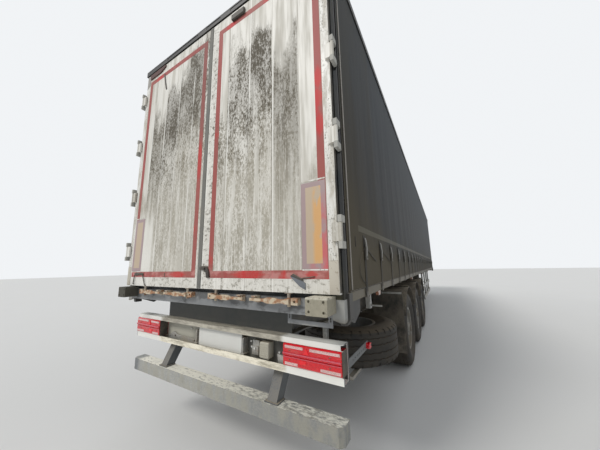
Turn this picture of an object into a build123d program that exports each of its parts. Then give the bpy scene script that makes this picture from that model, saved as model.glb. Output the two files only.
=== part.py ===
from build123d import *
import os
from math import cos, radians, sin

# A three-axle curtain-sided semi trailer, in millimetres.
# X runs forward, Y to the left and Z up, with the ground at Z 0.

os.makedirs("parts", exist_ok=True)

# Overall size
overall_height = 4000
body_length = 13760
buffer_stand = 90
coupler_stand = 60
overall_length = body_length + buffer_stand + coupler_stand
door_face_x = buffer_stand - overall_length / 2
front_face_x = door_face_x + body_length
seat_gap = 0.3

# Load floor and its frame
floor_top = 1350
floor_thick = 27
frame_top = floor_top - floor_thick
side_bar_width = 42
side_bar_rise = 3
side_web = 6
side_outer_y = 1232
side_lip = 32
side_low = 1290
floor_half = side_outer_y - side_bar_width
groove_count = 7
groove_width = 8
groove_depth = 3

# Heights of the roof, its rails and the header
roof_crown = 15
roof_rail_top = overall_height - roof_crown
roof_rail_height = 105
roof_rail_low = roof_rail_top - roof_rail_height
roof_rail_outer_y = 1250
roof_rail_wall = 20
roof_rail_bevel = 12
roller_track = 30
roller_room = 12
curtain_tuck = 25
curtain_top = roof_rail_low + curtain_tuck
roof_cover_thick = 4
hood_set = 4
hood_height = 71
hood_top = overall_height - hood_set
hood_low = hood_top - hood_height
hood_overhang = 10
hood_bevel = 6
header_drop = 65
header_low = hood_low - header_drop
header_rear_wall = 12
header_front_wall = 8
header_end_wall = 10

# Doors and the frame behind them
door_thick = 30
door_low = floor_top
door_top_gap = 10
door_top = hood_low - door_top_gap
door_gap = 12
door_outer_y = 1228
frame_gap = 6
frame_face_x = door_face_x + door_thick + frame_gap
post_depth = 50
post_outer_y = 1236
post_inner_y = 1160
post_wall = 6
post_front_x = frame_face_x + post_depth
sill_low = 1215
sill_depth = 80
sill_wall = 6
sill_step = 16
sill_step_height = 28
floor_rear_x = frame_face_x + sill_depth

# Door hinges
pivot_y = 1256
pivot_back = 18
pivot_x = door_face_x - pivot_back
pin_radius = 8
pin_play = 0.3
knuckle_radius = 12
leaf_height = 110
leaf_reach = 52
leaf_thick = 22
lug_height = 42
lug_gap = 1
lug_wall = 14
lug_seat = 3
hinge_count = 4
lowest_hinge = 360
highest_hinge = 345
hinge_room = door_top - highest_hinge - door_low - lowest_hinge
hinge_heights = [door_low + lowest_hinge + step * hinge_room / (hinge_count - 1) for step in range(hinge_count)]

# Curtains
wall_thick = 60
rail_front_x = front_face_x - wall_thick
curtain_outer_y = 1240
curtain_thick = 6
curtain_low = 1350
pole_radius = 15
pole_bury = 4
pole_x = door_face_x + 112
front_pole_x = rail_front_x - 25
tensioner_length = 60
tensioner_low = 1165
tensioner_slope = 40
tensioner_nose = 25
tensioner_gap = 2
rail_end_gap = 8
strap_width = 45
strap_thick = 3
strap_hook = 8
strap_hook_reach = 20
buckle_stand = 22
buckle_low = 1545
buckle_top = 1655
buckle_bevel = 20
strap_pitch = 530
first_strap_x = door_face_x + 510

# Main rails of the frame
rail_y = 650
flange_width = 125
flange_thick = 14
web_thick = 8
rail_low = 880
rail_rear_low = 1000
rail_step_x = door_face_x + 520
rail_taper_x = door_face_x + 2265
skid_height = 1185
skid_thick = 8
neck_low = skid_height + skid_thick
rear_plate_x = door_face_x + 215
rear_plate_thick = 8
rear_plate_half = 756
rear_plate_low = 930
rail_rear_x = rear_plate_x + rear_plate_thick
half_flange = (flange_width - web_thick) / 2
web_outer_y = rail_y + web_thick / 2
web_inner_y = rail_y - web_thick / 2
stiffener_thick = 10
stiffener_gap = 10
pipe_hole_radius = 50
pipe_hole_height = 1060
pipe_hole_pitch = 500
pipe_hole_count = 6

# Kingpin, and what keeps its distance from it
kingpin_x = front_face_x - 1760
collar_radius = 36.5
collar_length = 30
collar_play = 0.1
neck_radius = 25.4
neck_length = 35
head_radius = 35.7
head_length = 19
kingpin_flange_radius = 95
kingpin_flange_thick = 20
skid_half = 760
skid_corner = 60
skid_rear_x = kingpin_x - 1235
neck_end_x = kingpin_x - 1885
neck_start_x = neck_end_x - 400

# Cross members
cross_pitch = 640
first_cross_x = door_face_x + 400
last_cross_room = 100
cross_count = int((rail_front_x - last_cross_room - first_cross_x) // cross_pitch) + 1
cross_width = 50
cross_height = 100
cross_wall = 6
outrigger_tip = 20

# Running gear
tyre_radius = 536
wheel_height = tyre_radius
tyre_width = 385
track_half = 1020
axle_pitch = 1310
middle_axle_x = door_face_x + 4300
axle_places = [middle_axle_x + step * axle_pitch for step in (1, 0, -1)]
front_axle_x = axle_places[0]
axle_steps = [(axle_x, 0, 0) for axle_x in axle_places]
seat_radius = 286
rim_half = 150
spindle_radius = 45
spindle_reach = 145
bearing_play = 0.3
beam_radius = 63.5
shield_radius = 184
shield_inner = 112
shield_thick = 6
arm_width = 80
eye_radius = 45
eye_pin_radius = 20
hanger_thick = 10
hanger_play = 5
hanger_half = arm_width / 2 + hanger_play + hanger_thick
pivot_ahead = 500
pivot_height = 640
spring_radius = 140
spring_back = 330
spring_seat = 600
spring_plate = 25
damper_y = 740
damper_radius = 28
damper_cover_radius = 34
damper_eye_radius = 26
damper_pin_radius = 10
damper_foot = (130, 640)
damper_head = (430, 820)
chamber_radius = 88
chamber_y = 470
chamber_height = 660
chamber_face_x = 115
chamber_length = 230
camshaft_x = 100
camshaft_height = 528
camshaft_radius = 15
slack_width = 16

# Mudguards
guard_radius = 616
guard_thick = 5
guard_half_angle = 64
guard_inner_y = 830
guard_outer_y = 1230
stay_radius = 17
stay_gap = 8
stay_inset = 10
stay_height = wheel_height + guard_radius + guard_thick + stay_gap
flap_x = door_face_x + 2230
flap_low = 380
flap_thick = 4

# Rear end below the floor
light_bar_x = door_face_x + 130
light_bar_low = 815
light_bar_top = 1040
light_bar_half = 1180
bar_sheet = 4
bar_top_lip = 35
bar_bottom_lip = 45
bar_end_bevel = 22
lamp_inner_y = 750
lamp_outer_y = light_bar_half - 10
lamp_stand = 12
lamp_bevel = 8
lamp_low = 862
lamp_top = 1003
lamp_ridge = 6
underrun_x = door_face_x + 110
underrun_depth = 110
underrun_low = 497
underrun_height = 105
underrun_top = underrun_low + underrun_height
underrun_half = 1165
underrun_wall = 5
underrun_bevel = 30
underrun_plug = 40
underrun_arm_y = 645
underrun_arm_width = 80
underrun_arm_wall = 8
underrun_arm_lean = 110
underrun_shoe = 8
buffer_inner_y = 1048
buffer_outer_y = 1185
buffer_low = 1240
buffer_top = 1340
buffer_corner = 8
bolt_hole_radius = 8
bolt_hole_depth = 12
bolt_inset = 22
sill_frame_inner_y = 800
sill_frame_outer_y = 1130
sill_frame_low = 1138
sill_frame_bar = 28
sill_frame_sheet = 6
sill_frame_slot = 10

# Door locks: where each bar comes down and where its lever ends
lock_bar_radius = 11
lock_bar_low = 1262
lever_low = 1284
lever_high = 1308
lever_stand = 20
lever_thick = 12
lever_hub_half = 17
lever_hub_over = 4
lever_waist = 9
lever_swell = 19
lock_table = (
    # bar's place, lever's free end, keeper's middle, all across from the trailer's centre line
    (870, 560, 920),
    (180, 490, 130),
)
guide_plate = (52, 6)
keeper_width = 50
keeper_height = 42
keeper_stand = 4
keeper_hole_radius = 9
catch_width = 36
catch_gap = 5
catch_nose = 8

# Spare wheel
spare_x = door_face_x + 1600
spare_y = -690
spare_low = 500
cradle_height = 30
cradle_bar = 45
cradle_side_room = 25
cradle_bar_y = 210
winch_x = door_face_x + 930
winch_height = 1160
winch_inner_y = 1110
winch_outer_y = 1150
winch_square = 50
winch_stub_radius = 8
winch_stub_end_y = 1245

# Landing legs
leg_x = kingpin_x - 2495
leg_y = 800
leg_outer = 120
leg_wall = 6
leg_play = 5
leg_low = 520
leg_top = 1190
leg_inner = leg_outer - 2 * leg_wall - 2 * leg_play
leg_inner_top = 720
leg_inner_low = 60
leg_guide = leg_outer - 2 * leg_wall - 2 * seat_gap
leg_guide_height = 40
leg_bracket_half = 45
leg_bracket_low = 930
leg_bracket_high = 1160
leg_bracket_wall = 8
leg_bracket_band = 20
leg_shaft_radius = 16
leg_shaft_height = 835
leg_tie = 50
leg_tie_height = 640
leg_brace_thick = 8
leg_brace_width = 50
gearbox_length = 90
gearbox_height = 120
gearbox_depth = 60
crank_radius = 14
crank_reach = 150
crank_arm = 210
crank_arm_thick = 12
crank_grip = 110
foot_size = 240
foot_corner = 30
foot_thick = 20
ankle_half = 80
ankle_height = 110

# Side guards
side_guard_rear_x = front_axle_x + 695
side_guard_front_x = leg_x - 330
side_guard_outer_y = 1230
side_guard_depth = 25
side_guard_wall = 4
side_guard_height = 100
side_guard_levels = (560, 860)
guard_post_count = 4
guard_post_inset = 110
guard_post_width = 50
guard_post_depth = 40

# Side marker lamps, under the side rails between the straps
first_marker_x = first_strap_x + strap_pitch - 90
straps_between_markers = 5
marker_count = 5
marker_places = [first_marker_x + step * straps_between_markers * strap_pitch for step in range(marker_count)]
marker_length = 90
marker_height = 38
marker_depth = 24


def at_side(y):
    """The upright plane across Y, which extrudes towards the right side."""
    return Plane.XZ.offset(-y)


def at_station(x):
    """The upright plane across X, which extrudes forward."""
    return Plane.YZ.offset(x)


def at_level(z):
    """The level plane at a height, which extrudes upward."""
    return Plane.XY.offset(z)


def wheel_plane(x, y, z, outward):
    """A half-section plane of a wheel: across is outward, up is the radius."""
    return Plane(origin=(x, y, z), x_dir=(0, outward, 0), z_dir=(outward, 0, 0))


def outline(*points):
    """Fills the closed outline through the points in the open sketch."""
    Polygon(*points, align=None)


def span(low, high):
    """Size and middle of a stretch."""
    return high - low, (low + high) / 2


def block(x0, x1, y0, y1, z0, z1, mode=Mode.ADD):
    """A square block between two corners, in the open part."""
    dx, cx = span(x0, x1)
    dy, cy = span(y0, y1)
    dz, cz = span(z0, z1)
    with Locations((cx, cy, cz)):
        Box(dx, dy, dz, mode=mode)


def finish(piece, name):
    """Labels a finished piece and writes its file."""
    piece.part.label = name
    export_step(piece.part, f"parts/{name}.step")


# Main rails: welded beams with a deep middle, a raised neck and a stepped tail
rail_outline = (
    (floor_rear_x, frame_top),
    (rail_front_x, frame_top),
    (rail_front_x, neck_low),
    (neck_end_x, neck_low),
    (neck_start_x, rail_low),
    (rail_taper_x, rail_low),
    (rail_step_x, rail_rear_low),
    (rail_rear_x, rail_rear_low),
    (rail_rear_x, sill_low),
    (floor_rear_x, sill_low),
)
stiffener_top = frame_top - cross_height - stiffener_gap
pipe_hole_x = front_axle_x + 950
with BuildPart() as main_rails:
    with BuildSketch(at_side(rail_y + flange_width / 2)):
        outline(*rail_outline)
    extrude(amount=flange_width)
    for face_y in (rail_y + flange_width / 2, web_inner_y):
        with BuildSketch(at_side(face_y)):
            outline(*rail_outline)
            offset(amount=-flange_thick, kind=Kind.INTERSECTION)
        extrude(amount=half_flange, mode=Mode.SUBTRACT)
    for axle_x in axle_places:
        for edge_x in (axle_x + pivot_ahead - 2 * arm_width, axle_x + pivot_ahead + 2 * arm_width):
            block(
                edge_x - stiffener_thick / 2, edge_x + stiffener_thick / 2,
                web_outer_y, web_outer_y + half_flange, rail_low + flange_thick, stiffener_top,
            )
    with BuildSketch(at_side(rail_y + flange_width / 2)):
        for step in range(pipe_hole_count):
            with Locations((pipe_hole_x + step * pipe_hole_pitch, pipe_hole_height)):
                Circle(pipe_hole_radius)
    extrude(amount=flange_width, mode=Mode.SUBTRACT)
    mirror(about=Plane.XZ)
finish(main_rails, "main_rails")

# Cross members: a channel between the webs and a tapered channel out to each side
cross_places = [(first_cross_x + cross_pitch * step, 0, 0) for step in range(cross_count)]
outrigger_inner = (web_outer_y, rail_y + flange_width / 2, side_outer_y - side_web)
with BuildPart() as inner_member:
    with BuildSketch(at_side(web_inner_y)):
        with Locations((0, frame_top - cross_height / 2)):
            Rectangle(cross_width, cross_height)
        with Locations((cross_wall, frame_top - cross_height / 2)):
            Rectangle(cross_width, cross_height - 2 * cross_wall, mode=Mode.SUBTRACT)
    extrude(amount=2 * web_inner_y)
    for side in (1, -1):
        with Locations((0, side * (web_inner_y - half_flange / 2), frame_top - flange_thick / 2)):
            Box(cross_width, half_flange, flange_thick, mode=Mode.SUBTRACT)
with BuildPart() as outrigger:
    web_y, flange_edge_y, rail_face_y = outrigger_inner
    with BuildSketch(at_station(-cross_width / 2)):
        outline(
            (web_y, frame_top - flange_thick), (flange_edge_y, frame_top - flange_thick),
            (flange_edge_y, frame_top), (rail_face_y, frame_top),
            (rail_face_y, frame_top - outrigger_tip), (web_y, frame_top - cross_height),
        )
    extrude(amount=cross_width)
    with BuildSketch(at_station(cross_wall - cross_width / 2)):
        outline(
            (web_y + cross_wall, frame_top - flange_thick - cross_wall),
            (flange_edge_y + cross_wall, frame_top - flange_thick - cross_wall),
            (flange_edge_y + cross_wall, frame_top - cross_wall),
            (rail_face_y - cross_wall, frame_top - cross_wall),
            (rail_face_y - cross_wall, frame_top - outrigger_tip + cross_wall),
            (web_y + cross_wall, frame_top - cross_height + cross_wall),
        )
    extrude(amount=cross_width, mode=Mode.SUBTRACT)
    mirror(about=Plane.XZ)
with BuildPart() as cross_members:
    with Locations(*cross_places):
        add(inner_member.part)
        add(outrigger.part)
finish(cross_members, "cross_members")

# Side rails: a folded profile that carries the floor's edge
side_rail_rear_x = pole_x + pole_radius + rail_end_gap + pole_radius
side_rail_front_x = front_pole_x - pole_radius - rail_end_gap - pole_radius
with BuildPart() as side_rails:
    with BuildSketch(at_station(side_rail_rear_x)):
        outline(
            (side_outer_y - side_web, side_low + side_web),
            (side_outer_y - side_lip, side_low + side_web),
            (side_outer_y - side_lip, side_low),
            (side_outer_y, side_low),
            (side_outer_y, floor_top + side_bar_rise),
            (floor_half, floor_top + side_bar_rise),
            (floor_half, frame_top),
            (side_outer_y - side_web, frame_top),
        )
    extrude(amount=side_rail_front_x - side_rail_rear_x)
    mirror(about=Plane.XZ)
finish(side_rails, "side_rails")

# Load floor with its plank grooves
floor_length, floor_middle_x = span(floor_rear_x, rail_front_x)
with BuildPart() as load_floor:
    with Locations((floor_middle_x, 0, frame_top + floor_thick / 2)):
        Box(floor_length, 2 * floor_half, floor_thick)
    with Locations((floor_middle_x, 0, floor_top - groove_depth / 2)):
        with GridLocations(0, 2 * floor_half / (groove_count + 1), 1, groove_count):
            Box(floor_length, groove_width, groove_depth, mode=Mode.SUBTRACT)
finish(load_floor, "load_floor")

# Rear sill: a folded box stepped back under the doors, with a slotted frame hung at each end
sill_outline = (
    (frame_face_x, sill_low), (floor_rear_x, sill_low), (floor_rear_x, floor_top),
    (frame_face_x + sill_step, floor_top), (frame_face_x + sill_step, floor_top - sill_step_height),
    (frame_face_x, floor_top - sill_step_height),
)
sill_frame_x = floor_rear_x - 2 * sill_frame_sheet
with BuildPart() as rear_sill:
    with BuildSketch(at_side(post_inner_y)):
        outline(*sill_outline)
    extrude(amount=2 * post_inner_y)
    with BuildSketch(at_side(post_inner_y)):
        outline(*sill_outline)
        offset(amount=-sill_wall, kind=Kind.INTERSECTION)
    extrude(amount=2 * post_inner_y, mode=Mode.SUBTRACT)
    with BuildSketch(at_station(sill_frame_x)):
        frame_width, frame_y = span(sill_frame_inner_y, sill_frame_outer_y)
        frame_height, frame_z = span(sill_frame_low, sill_low)
        with Locations((-frame_y, frame_z)):
            Rectangle(frame_width, frame_height)
        with Locations((-frame_y, frame_z + sill_frame_bar / 2)):
            Rectangle(frame_width - 2 * sill_frame_bar, frame_height - sill_frame_bar, mode=Mode.SUBTRACT)
        with Locations((-frame_y, frame_z + sill_frame_bar / 2)):
            with GridLocations(frame_width - sill_frame_bar, 0, 2, 1):
                SlotOverall(frame_height / 2, sill_frame_slot, rotation=90, mode=Mode.SUBTRACT)
    extrude(amount=sill_frame_sheet)
finish(rear_sill, "rear_sill")

# Door catches on the sill: a holed keeper beside each lock bar and a nosed rest under each lever's end
lever_back_x = door_face_x - lever_stand
lever_face_x = lever_back_x + lever_thick
keeper_z = (lever_low + lever_high) / 2
catch_low = lever_low - catch_gap - catch_nose
catch_high = lever_high + catch_gap
with BuildPart() as door_catches:
    for bar_y, lever_end, keeper_y in lock_table:
        catch_y = lever_end + (catch_width if lever_end < bar_y else -catch_width)
        keeper_x = door_face_x - keeper_stand
        with BuildSketch(at_station(keeper_x)):
            with Locations((keeper_y, keeper_z)):
                Rectangle(keeper_width, keeper_height)
                Circle(keeper_hole_radius, mode=Mode.SUBTRACT)
        extrude(amount=frame_face_x - keeper_x)
        with BuildSketch(at_side(catch_y + catch_width / 2)):
            outline(
                (frame_face_x, catch_low), (frame_face_x, catch_high + catch_nose),
                (lever_back_x, catch_high + catch_nose), (lever_back_x, catch_high),
                (lever_face_x + catch_gap, catch_high), (lever_face_x + catch_gap, lever_low),
            )
        extrude(amount=catch_width)
    mirror(about=Plane.XZ)
finish(door_catches, "door_catches")

# Dock buffers: thick blocks on the sill with four sunk bolt holes each
buffer_width, buffer_y = span(buffer_inner_y, buffer_outer_y)
buffer_height, buffer_z = span(buffer_low, buffer_top)
with BuildPart() as dock_buffers:
    with BuildSketch(at_station(door_face_x - buffer_stand)):
        with Locations((buffer_y, buffer_z), (-buffer_y, buffer_z)):
            RectangleRounded(buffer_width, buffer_height, buffer_corner)
    extrude(amount=buffer_stand + frame_face_x - door_face_x)
    with BuildSketch(at_station(door_face_x - buffer_stand)):
        with Locations((buffer_y, buffer_z), (-buffer_y, buffer_z)):
            with GridLocations(buffer_width - 2 * bolt_inset, buffer_height - 2 * bolt_inset, 2, 2):
                Circle(bolt_hole_radius)
    extrude(amount=bolt_hole_depth, mode=Mode.SUBTRACT)
finish(dock_buffers, "dock_buffers")

# Rear posts: channels open to the front on a bracketed foot, with paired lugs and a pin at each hinge
foot_low = sill_low - 25
foot_width = 30
with BuildPart() as rear_posts:
    block(frame_face_x, post_front_x, post_inner_y, post_outer_y, sill_low, hood_low)
    block(
        frame_face_x + post_wall, post_front_x, post_inner_y + post_wall, post_outer_y - post_wall,
        sill_low + post_wall, hood_low - post_wall, mode=Mode.SUBTRACT,
    )
    with BuildSketch(at_station(frame_face_x)):
        outline(
            (post_inner_y, sill_low), (post_outer_y, sill_low), (post_outer_y, foot_low),
            (post_outer_y - foot_width, foot_low), (post_inner_y, sill_low - 2 * post_wall),
        )
    extrude(amount=post_wall)
    with BuildSketch(at_side(post_outer_y)):
        outline(
            (frame_face_x, sill_low), (post_front_x, sill_low), (post_front_x, sill_low - 2 * post_wall),
            (frame_face_x + foot_width, foot_low), (frame_face_x, foot_low),
        )
    extrude(amount=post_wall)
    for height in hinge_heights:
        for low in (height - leaf_height / 2 - lug_gap - lug_height, height + leaf_height / 2 + lug_gap):
            with BuildSketch(at_level(low)):
                outline(
                    (pivot_x - lug_wall, pivot_y - knuckle_radius),
                    (pivot_x - lug_wall, pivot_y + knuckle_radius),
                    (frame_face_x - frame_gap, pivot_y + knuckle_radius),
                    (frame_face_x + post_depth / 2, pivot_y - pin_radius),
                    (frame_face_x + post_depth / 2, post_outer_y - lug_seat),
                    (frame_face_x + 1, post_outer_y - lug_seat), (frame_face_x + 1, pivot_y - knuckle_radius),
                )
            extrude(amount=lug_height)
        with BuildSketch(at_level(height - leaf_height / 2 - lug_gap - lug_height / 2)):
            with Locations((pivot_x, pivot_y)):
                Circle(pin_radius)
        extrude(amount=leaf_height + 2 * lug_gap + lug_height)
    mirror(about=Plane.XZ)
finish(rear_posts, "rear_posts")

# Rear header: a beam between the posts and a hood over the doors' top edge, with sunk panels
hood_panels = (
    # middle of the panel, its length
    (520, 560),
    (0, 210),
    (-520, 560),
)
hood_panel_height = 38
hood_panel_depth = 3
hood_rear_x = door_face_x - hood_overhang
with BuildPart() as rear_header:
    block(frame_face_x, post_front_x, -post_inner_y, post_inner_y, header_low, hood_low)
    block(
        frame_face_x + header_rear_wall, post_front_x - header_front_wall,
        -post_inner_y + header_end_wall, post_inner_y - header_end_wall,
        header_low, hood_low - header_end_wall, mode=Mode.SUBTRACT,
    )
    with BuildSketch(at_side(roof_rail_outer_y)):
        outline(
            (hood_rear_x, hood_low), (post_front_x, hood_low), (post_front_x, hood_top),
            (hood_rear_x + hood_bevel, hood_top), (hood_rear_x, hood_top - hood_bevel),
        )
    extrude(amount=2 * roof_rail_outer_y)
    with BuildSketch(at_station(hood_rear_x)):
        for panel_y, panel_length in hood_panels:
            with Locations((panel_y, (hood_low + hood_top) / 2)):
                Rectangle(panel_length, hood_panel_height)
    extrude(amount=hood_panel_depth, mode=Mode.SUBTRACT)
finish(rear_header, "rear_header")

# Roof rails along both sides, hollow below for the curtain rollers
with BuildPart() as roof_rails:
    with BuildSketch(at_station(post_front_x)):
        outline(
            (floor_half, roof_rail_low), (floor_half + roller_track, roof_rail_low),
            (floor_half + roller_track, curtain_top),
            (roof_rail_outer_y, curtain_top), (roof_rail_outer_y, roof_rail_top - roof_rail_bevel),
            (roof_rail_outer_y - roof_rail_bevel, roof_rail_top), (floor_half, roof_rail_top),
            (floor_half, roof_rail_top - roof_rail_wall),
            (roof_rail_outer_y - roof_rail_wall, roof_rail_top - roof_rail_wall),
            (roof_rail_outer_y - roof_rail_wall, curtain_top + roller_room),
            (floor_half, curtain_top + roller_room),
        )
    extrude(amount=rail_front_x - post_front_x)
    mirror(about=Plane.XZ)
finish(roof_rails, "roof_rails")

# Roof cover, crowned across the trailer
cover_edge_y = roof_rail_outer_y - roof_rail_bevel - 2
cover_edge_top = roof_rail_top + roof_cover_thick
with BuildPart() as roof_cover:
    with BuildSketch(at_station(post_front_x)):
        with BuildLine():
            ThreePointArc((-cover_edge_y, cover_edge_top), (0, overall_height), (cover_edge_y, cover_edge_top))
            Line((cover_edge_y, cover_edge_top), (cover_edge_y, roof_rail_top))
            ThreePointArc(
                (cover_edge_y, roof_rail_top), (0, overall_height - roof_cover_thick),
                (-cover_edge_y, roof_rail_top),
            )
            Line((-cover_edge_y, roof_rail_top), (-cover_edge_y, cover_edge_top))
        make_face()
    extrude(amount=front_face_x - post_front_x)
finish(roof_cover, "roof_cover")

# Roof bows under the cover
bow_count = 20
bow_width = 40
bow_depth = 38
bow_haunch = 80
bow_arch = 8
bow_length, bow_middle_x = span(post_front_x, rail_front_x)
bow_pitch = bow_length / bow_count
with BuildPart() as roof_bow:
    with BuildSketch(at_station(-bow_width / 2)):
        with BuildLine():
            ThreePointArc(
                (-floor_half, roof_rail_top - seat_gap),
                (0, overall_height - roof_cover_thick - seat_gap),
                (floor_half, roof_rail_top - seat_gap),
            )
            Polyline(
                (floor_half, roof_rail_top - seat_gap), (floor_half, roof_rail_top - bow_depth),
                (floor_half - bow_haunch, roof_rail_top - bow_depth + bow_arch),
                (-floor_half + bow_haunch, roof_rail_top - bow_depth + bow_arch),
                (-floor_half, roof_rail_top - bow_depth), (-floor_half, roof_rail_top - seat_gap),
            )
        make_face()
    extrude(amount=bow_width)
with BuildPart() as roof_bows:
    with Locations((bow_middle_x, 0, 0)):
        with GridLocations(bow_pitch, 0, bow_count, 1):
            add(roof_bow.part)
finish(roof_bows, "roof_bows")

# Front wall: ribbed panel between two corner posts
rib_count = 14
rib_width = 60
rib_depth = 18
rib_end_room = 90
corner_post_width = 110
with BuildPart() as front_wall:
    block(rail_front_x, front_face_x, -post_outer_y, post_outer_y, skid_height, roof_rail_top)
    wall_height, wall_z = span(floor_top, roof_rail_top - rib_end_room)
    with Locations((front_face_x - rib_depth / 2, 0, wall_z)):
        rib_room = 2 * (post_outer_y - corner_post_width)
        with GridLocations(0, rib_room / rib_count, 1, rib_count):
            Box(rib_depth, rib_room / rib_count - rib_width, wall_height, mode=Mode.SUBTRACT)
finish(front_wall, "front_wall")

# Side posts behind the curtains, evenly spaced between the rear frame and the front wall
side_bays = 4
side_post_width = 120
side_post_inner_y = 1170
side_post_outer_y = 1220
side_post_wall = 5
side_post_end = 30
side_bay = (rail_front_x - post_front_x) / side_bays
with BuildPart() as side_posts:
    for step in range(1, side_bays):
        post_x = post_front_x + step * side_bay
        block(
            post_x - side_post_width / 2, post_x + side_post_width / 2,
            side_post_inner_y, side_post_outer_y, floor_top + side_bar_rise, roof_rail_low,
        )
        block(
            post_x - side_post_width / 2 + side_post_wall, post_x + side_post_width / 2 - side_post_wall,
            side_post_inner_y, side_post_outer_y - side_post_wall,
            floor_top + side_bar_rise + side_post_end, roof_rail_low - side_post_end, mode=Mode.SUBTRACT,
        )
    mirror(about=Plane.XZ)
finish(side_posts, "side_posts")

# Curtains, one closed sheet body on each side
curtain_rear_x = pole_x + pole_radius + seat_gap
curtain_front_x = front_pole_x - pole_radius - seat_gap
for name, side in (("curtain_left", 1), ("curtain_right", -1)):
    with BuildPart() as curtain:
        inner_y, outer_y = sorted((side * (curtain_outer_y - curtain_thick), side * curtain_outer_y))
        block(curtain_rear_x, curtain_front_x, inner_y, outer_y, curtain_low, curtain_top)
    finish(curtain, name)

# Curtain poles with their tensioner boxes at both ends, the rear box with a pointed bracket ahead of it
pole_y = curtain_outer_y - pole_bury - pole_radius
tensioner_front_x = post_front_x + tensioner_gap + tensioner_length
bracket_plate = 8
bracket_tip_x = tensioner_front_x + 272
bracket_bottom_x = tensioner_front_x + 139
bracket_bottom = side_low - 150
bracket_tip_height = 95
with BuildPart() as curtain_poles:
    for place_x in (pole_x, front_pole_x):
        with BuildSketch(at_level(curtain_low)):
            with Locations((place_x, pole_y)):
                Circle(pole_radius)
        extrude(amount=roof_rail_low - curtain_low)
    for box_rear_x in (post_front_x + tensioner_gap, rail_front_x - tensioner_gap - tensioner_length):
        with BuildSketch(at_station(box_rear_x)):
            outline(
                (floor_half, curtain_low), (roof_rail_outer_y, curtain_low),
                (roof_rail_outer_y, tensioner_low + tensioner_slope),
                (roof_rail_outer_y - tensioner_nose, tensioner_low), (floor_half, tensioner_low),
            )
        extrude(amount=tensioner_length)
    with BuildSketch(at_side(side_outer_y - side_lip + bracket_plate)):
        outline(
            (tensioner_front_x, side_low), (tensioner_front_x, tensioner_low + tensioner_nose),
            (bracket_bottom_x, bracket_bottom), (bracket_tip_x, side_low - bracket_tip_height),
            (bracket_tip_x, side_low),
        )
    extrude(amount=bracket_plate)
    mirror(about=Plane.XZ)
finish(curtain_poles, "curtain_poles")

# Strap buckles: the strap follows the curtain down and hooks under the side rail
strap_count = int((curtain_front_x - first_strap_x) // strap_pitch) + 1
strap_places = [(first_strap_x + strap_pitch * step, 0, 0) for step in range(strap_count)]
hook_low = side_low - strap_hook
with BuildPart() as one_strap:
    with BuildSketch(at_station(-strap_width / 2)):
        outline(
            (curtain_outer_y, buckle_top), (curtain_outer_y + buckle_stand / 2, buckle_top),
            (curtain_outer_y + buckle_stand, buckle_top - buckle_bevel),
            (curtain_outer_y + buckle_stand, buckle_low + buckle_bevel),
            (curtain_outer_y + strap_thick, buckle_low), (curtain_outer_y + strap_thick, hook_low),
            (side_outer_y - strap_hook_reach, hook_low), (side_outer_y - strap_hook_reach, side_low),
            (curtain_outer_y, side_low),
        )
    extrude(amount=strap_width)
    mirror(about=Plane.XZ)
with BuildPart() as strap_buckles:
    with Locations(*strap_places):
        add(one_strap.part)
finish(strap_buckles, "strap_buckles")

# Light bar: a channel open to the rear with bevelled ends, and a holed strip forward at each end
strip_length = 430
strip_low = 885
strip_high = 940
strip_hole_radius = 7
strip_hole_pitch = 46
strip_hole_count = 7
with BuildPart() as light_bar:
    with BuildSketch(at_side(light_bar_half)):
        outline(
            (rear_plate_x, light_bar_low), (rear_plate_x, light_bar_top), (light_bar_x, light_bar_top),
            (light_bar_x, light_bar_top - bar_top_lip), (light_bar_x + bar_sheet, light_bar_top - bar_top_lip),
            (light_bar_x + bar_sheet, light_bar_top - bar_sheet),
            (rear_plate_x - bar_sheet, light_bar_top - bar_sheet),
            (rear_plate_x - bar_sheet, light_bar_low + bar_sheet),
            (light_bar_x + bar_sheet, light_bar_low + bar_sheet),
            (light_bar_x + bar_sheet, light_bar_low + bar_bottom_lip),
            (light_bar_x, light_bar_low + bar_bottom_lip), (light_bar_x, light_bar_low),
        )
    extrude(amount=2 * light_bar_half)
    with BuildSketch(at_level(lamp_top + bar_sheet)):
        for side in (1, -1):
            outline(
                (light_bar_x, side * light_bar_half), (light_bar_x, side * (light_bar_half - bar_end_bevel)),
                (light_bar_x + bar_end_bevel, side * light_bar_half),
            )
    extrude(amount=light_bar_top - lamp_top, mode=Mode.SUBTRACT)
    for side in (1, -1):
        strip_y = sorted((side * (light_bar_half - bar_sheet), side * light_bar_half))
        block(rear_plate_x - bar_sheet, rear_plate_x + strip_length, *strip_y, strip_low, strip_high)
    with BuildSketch(at_side(light_bar_half)):
        with Locations((rear_plate_x + strip_length / 2, (strip_low + strip_high) / 2)):
            with GridLocations(strip_hole_pitch, 0, strip_hole_count, 1):
                Circle(strip_hole_radius)
    extrude(amount=2 * light_bar_half, mode=Mode.SUBTRACT)
finish(light_bar, "light_bar")

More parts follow.
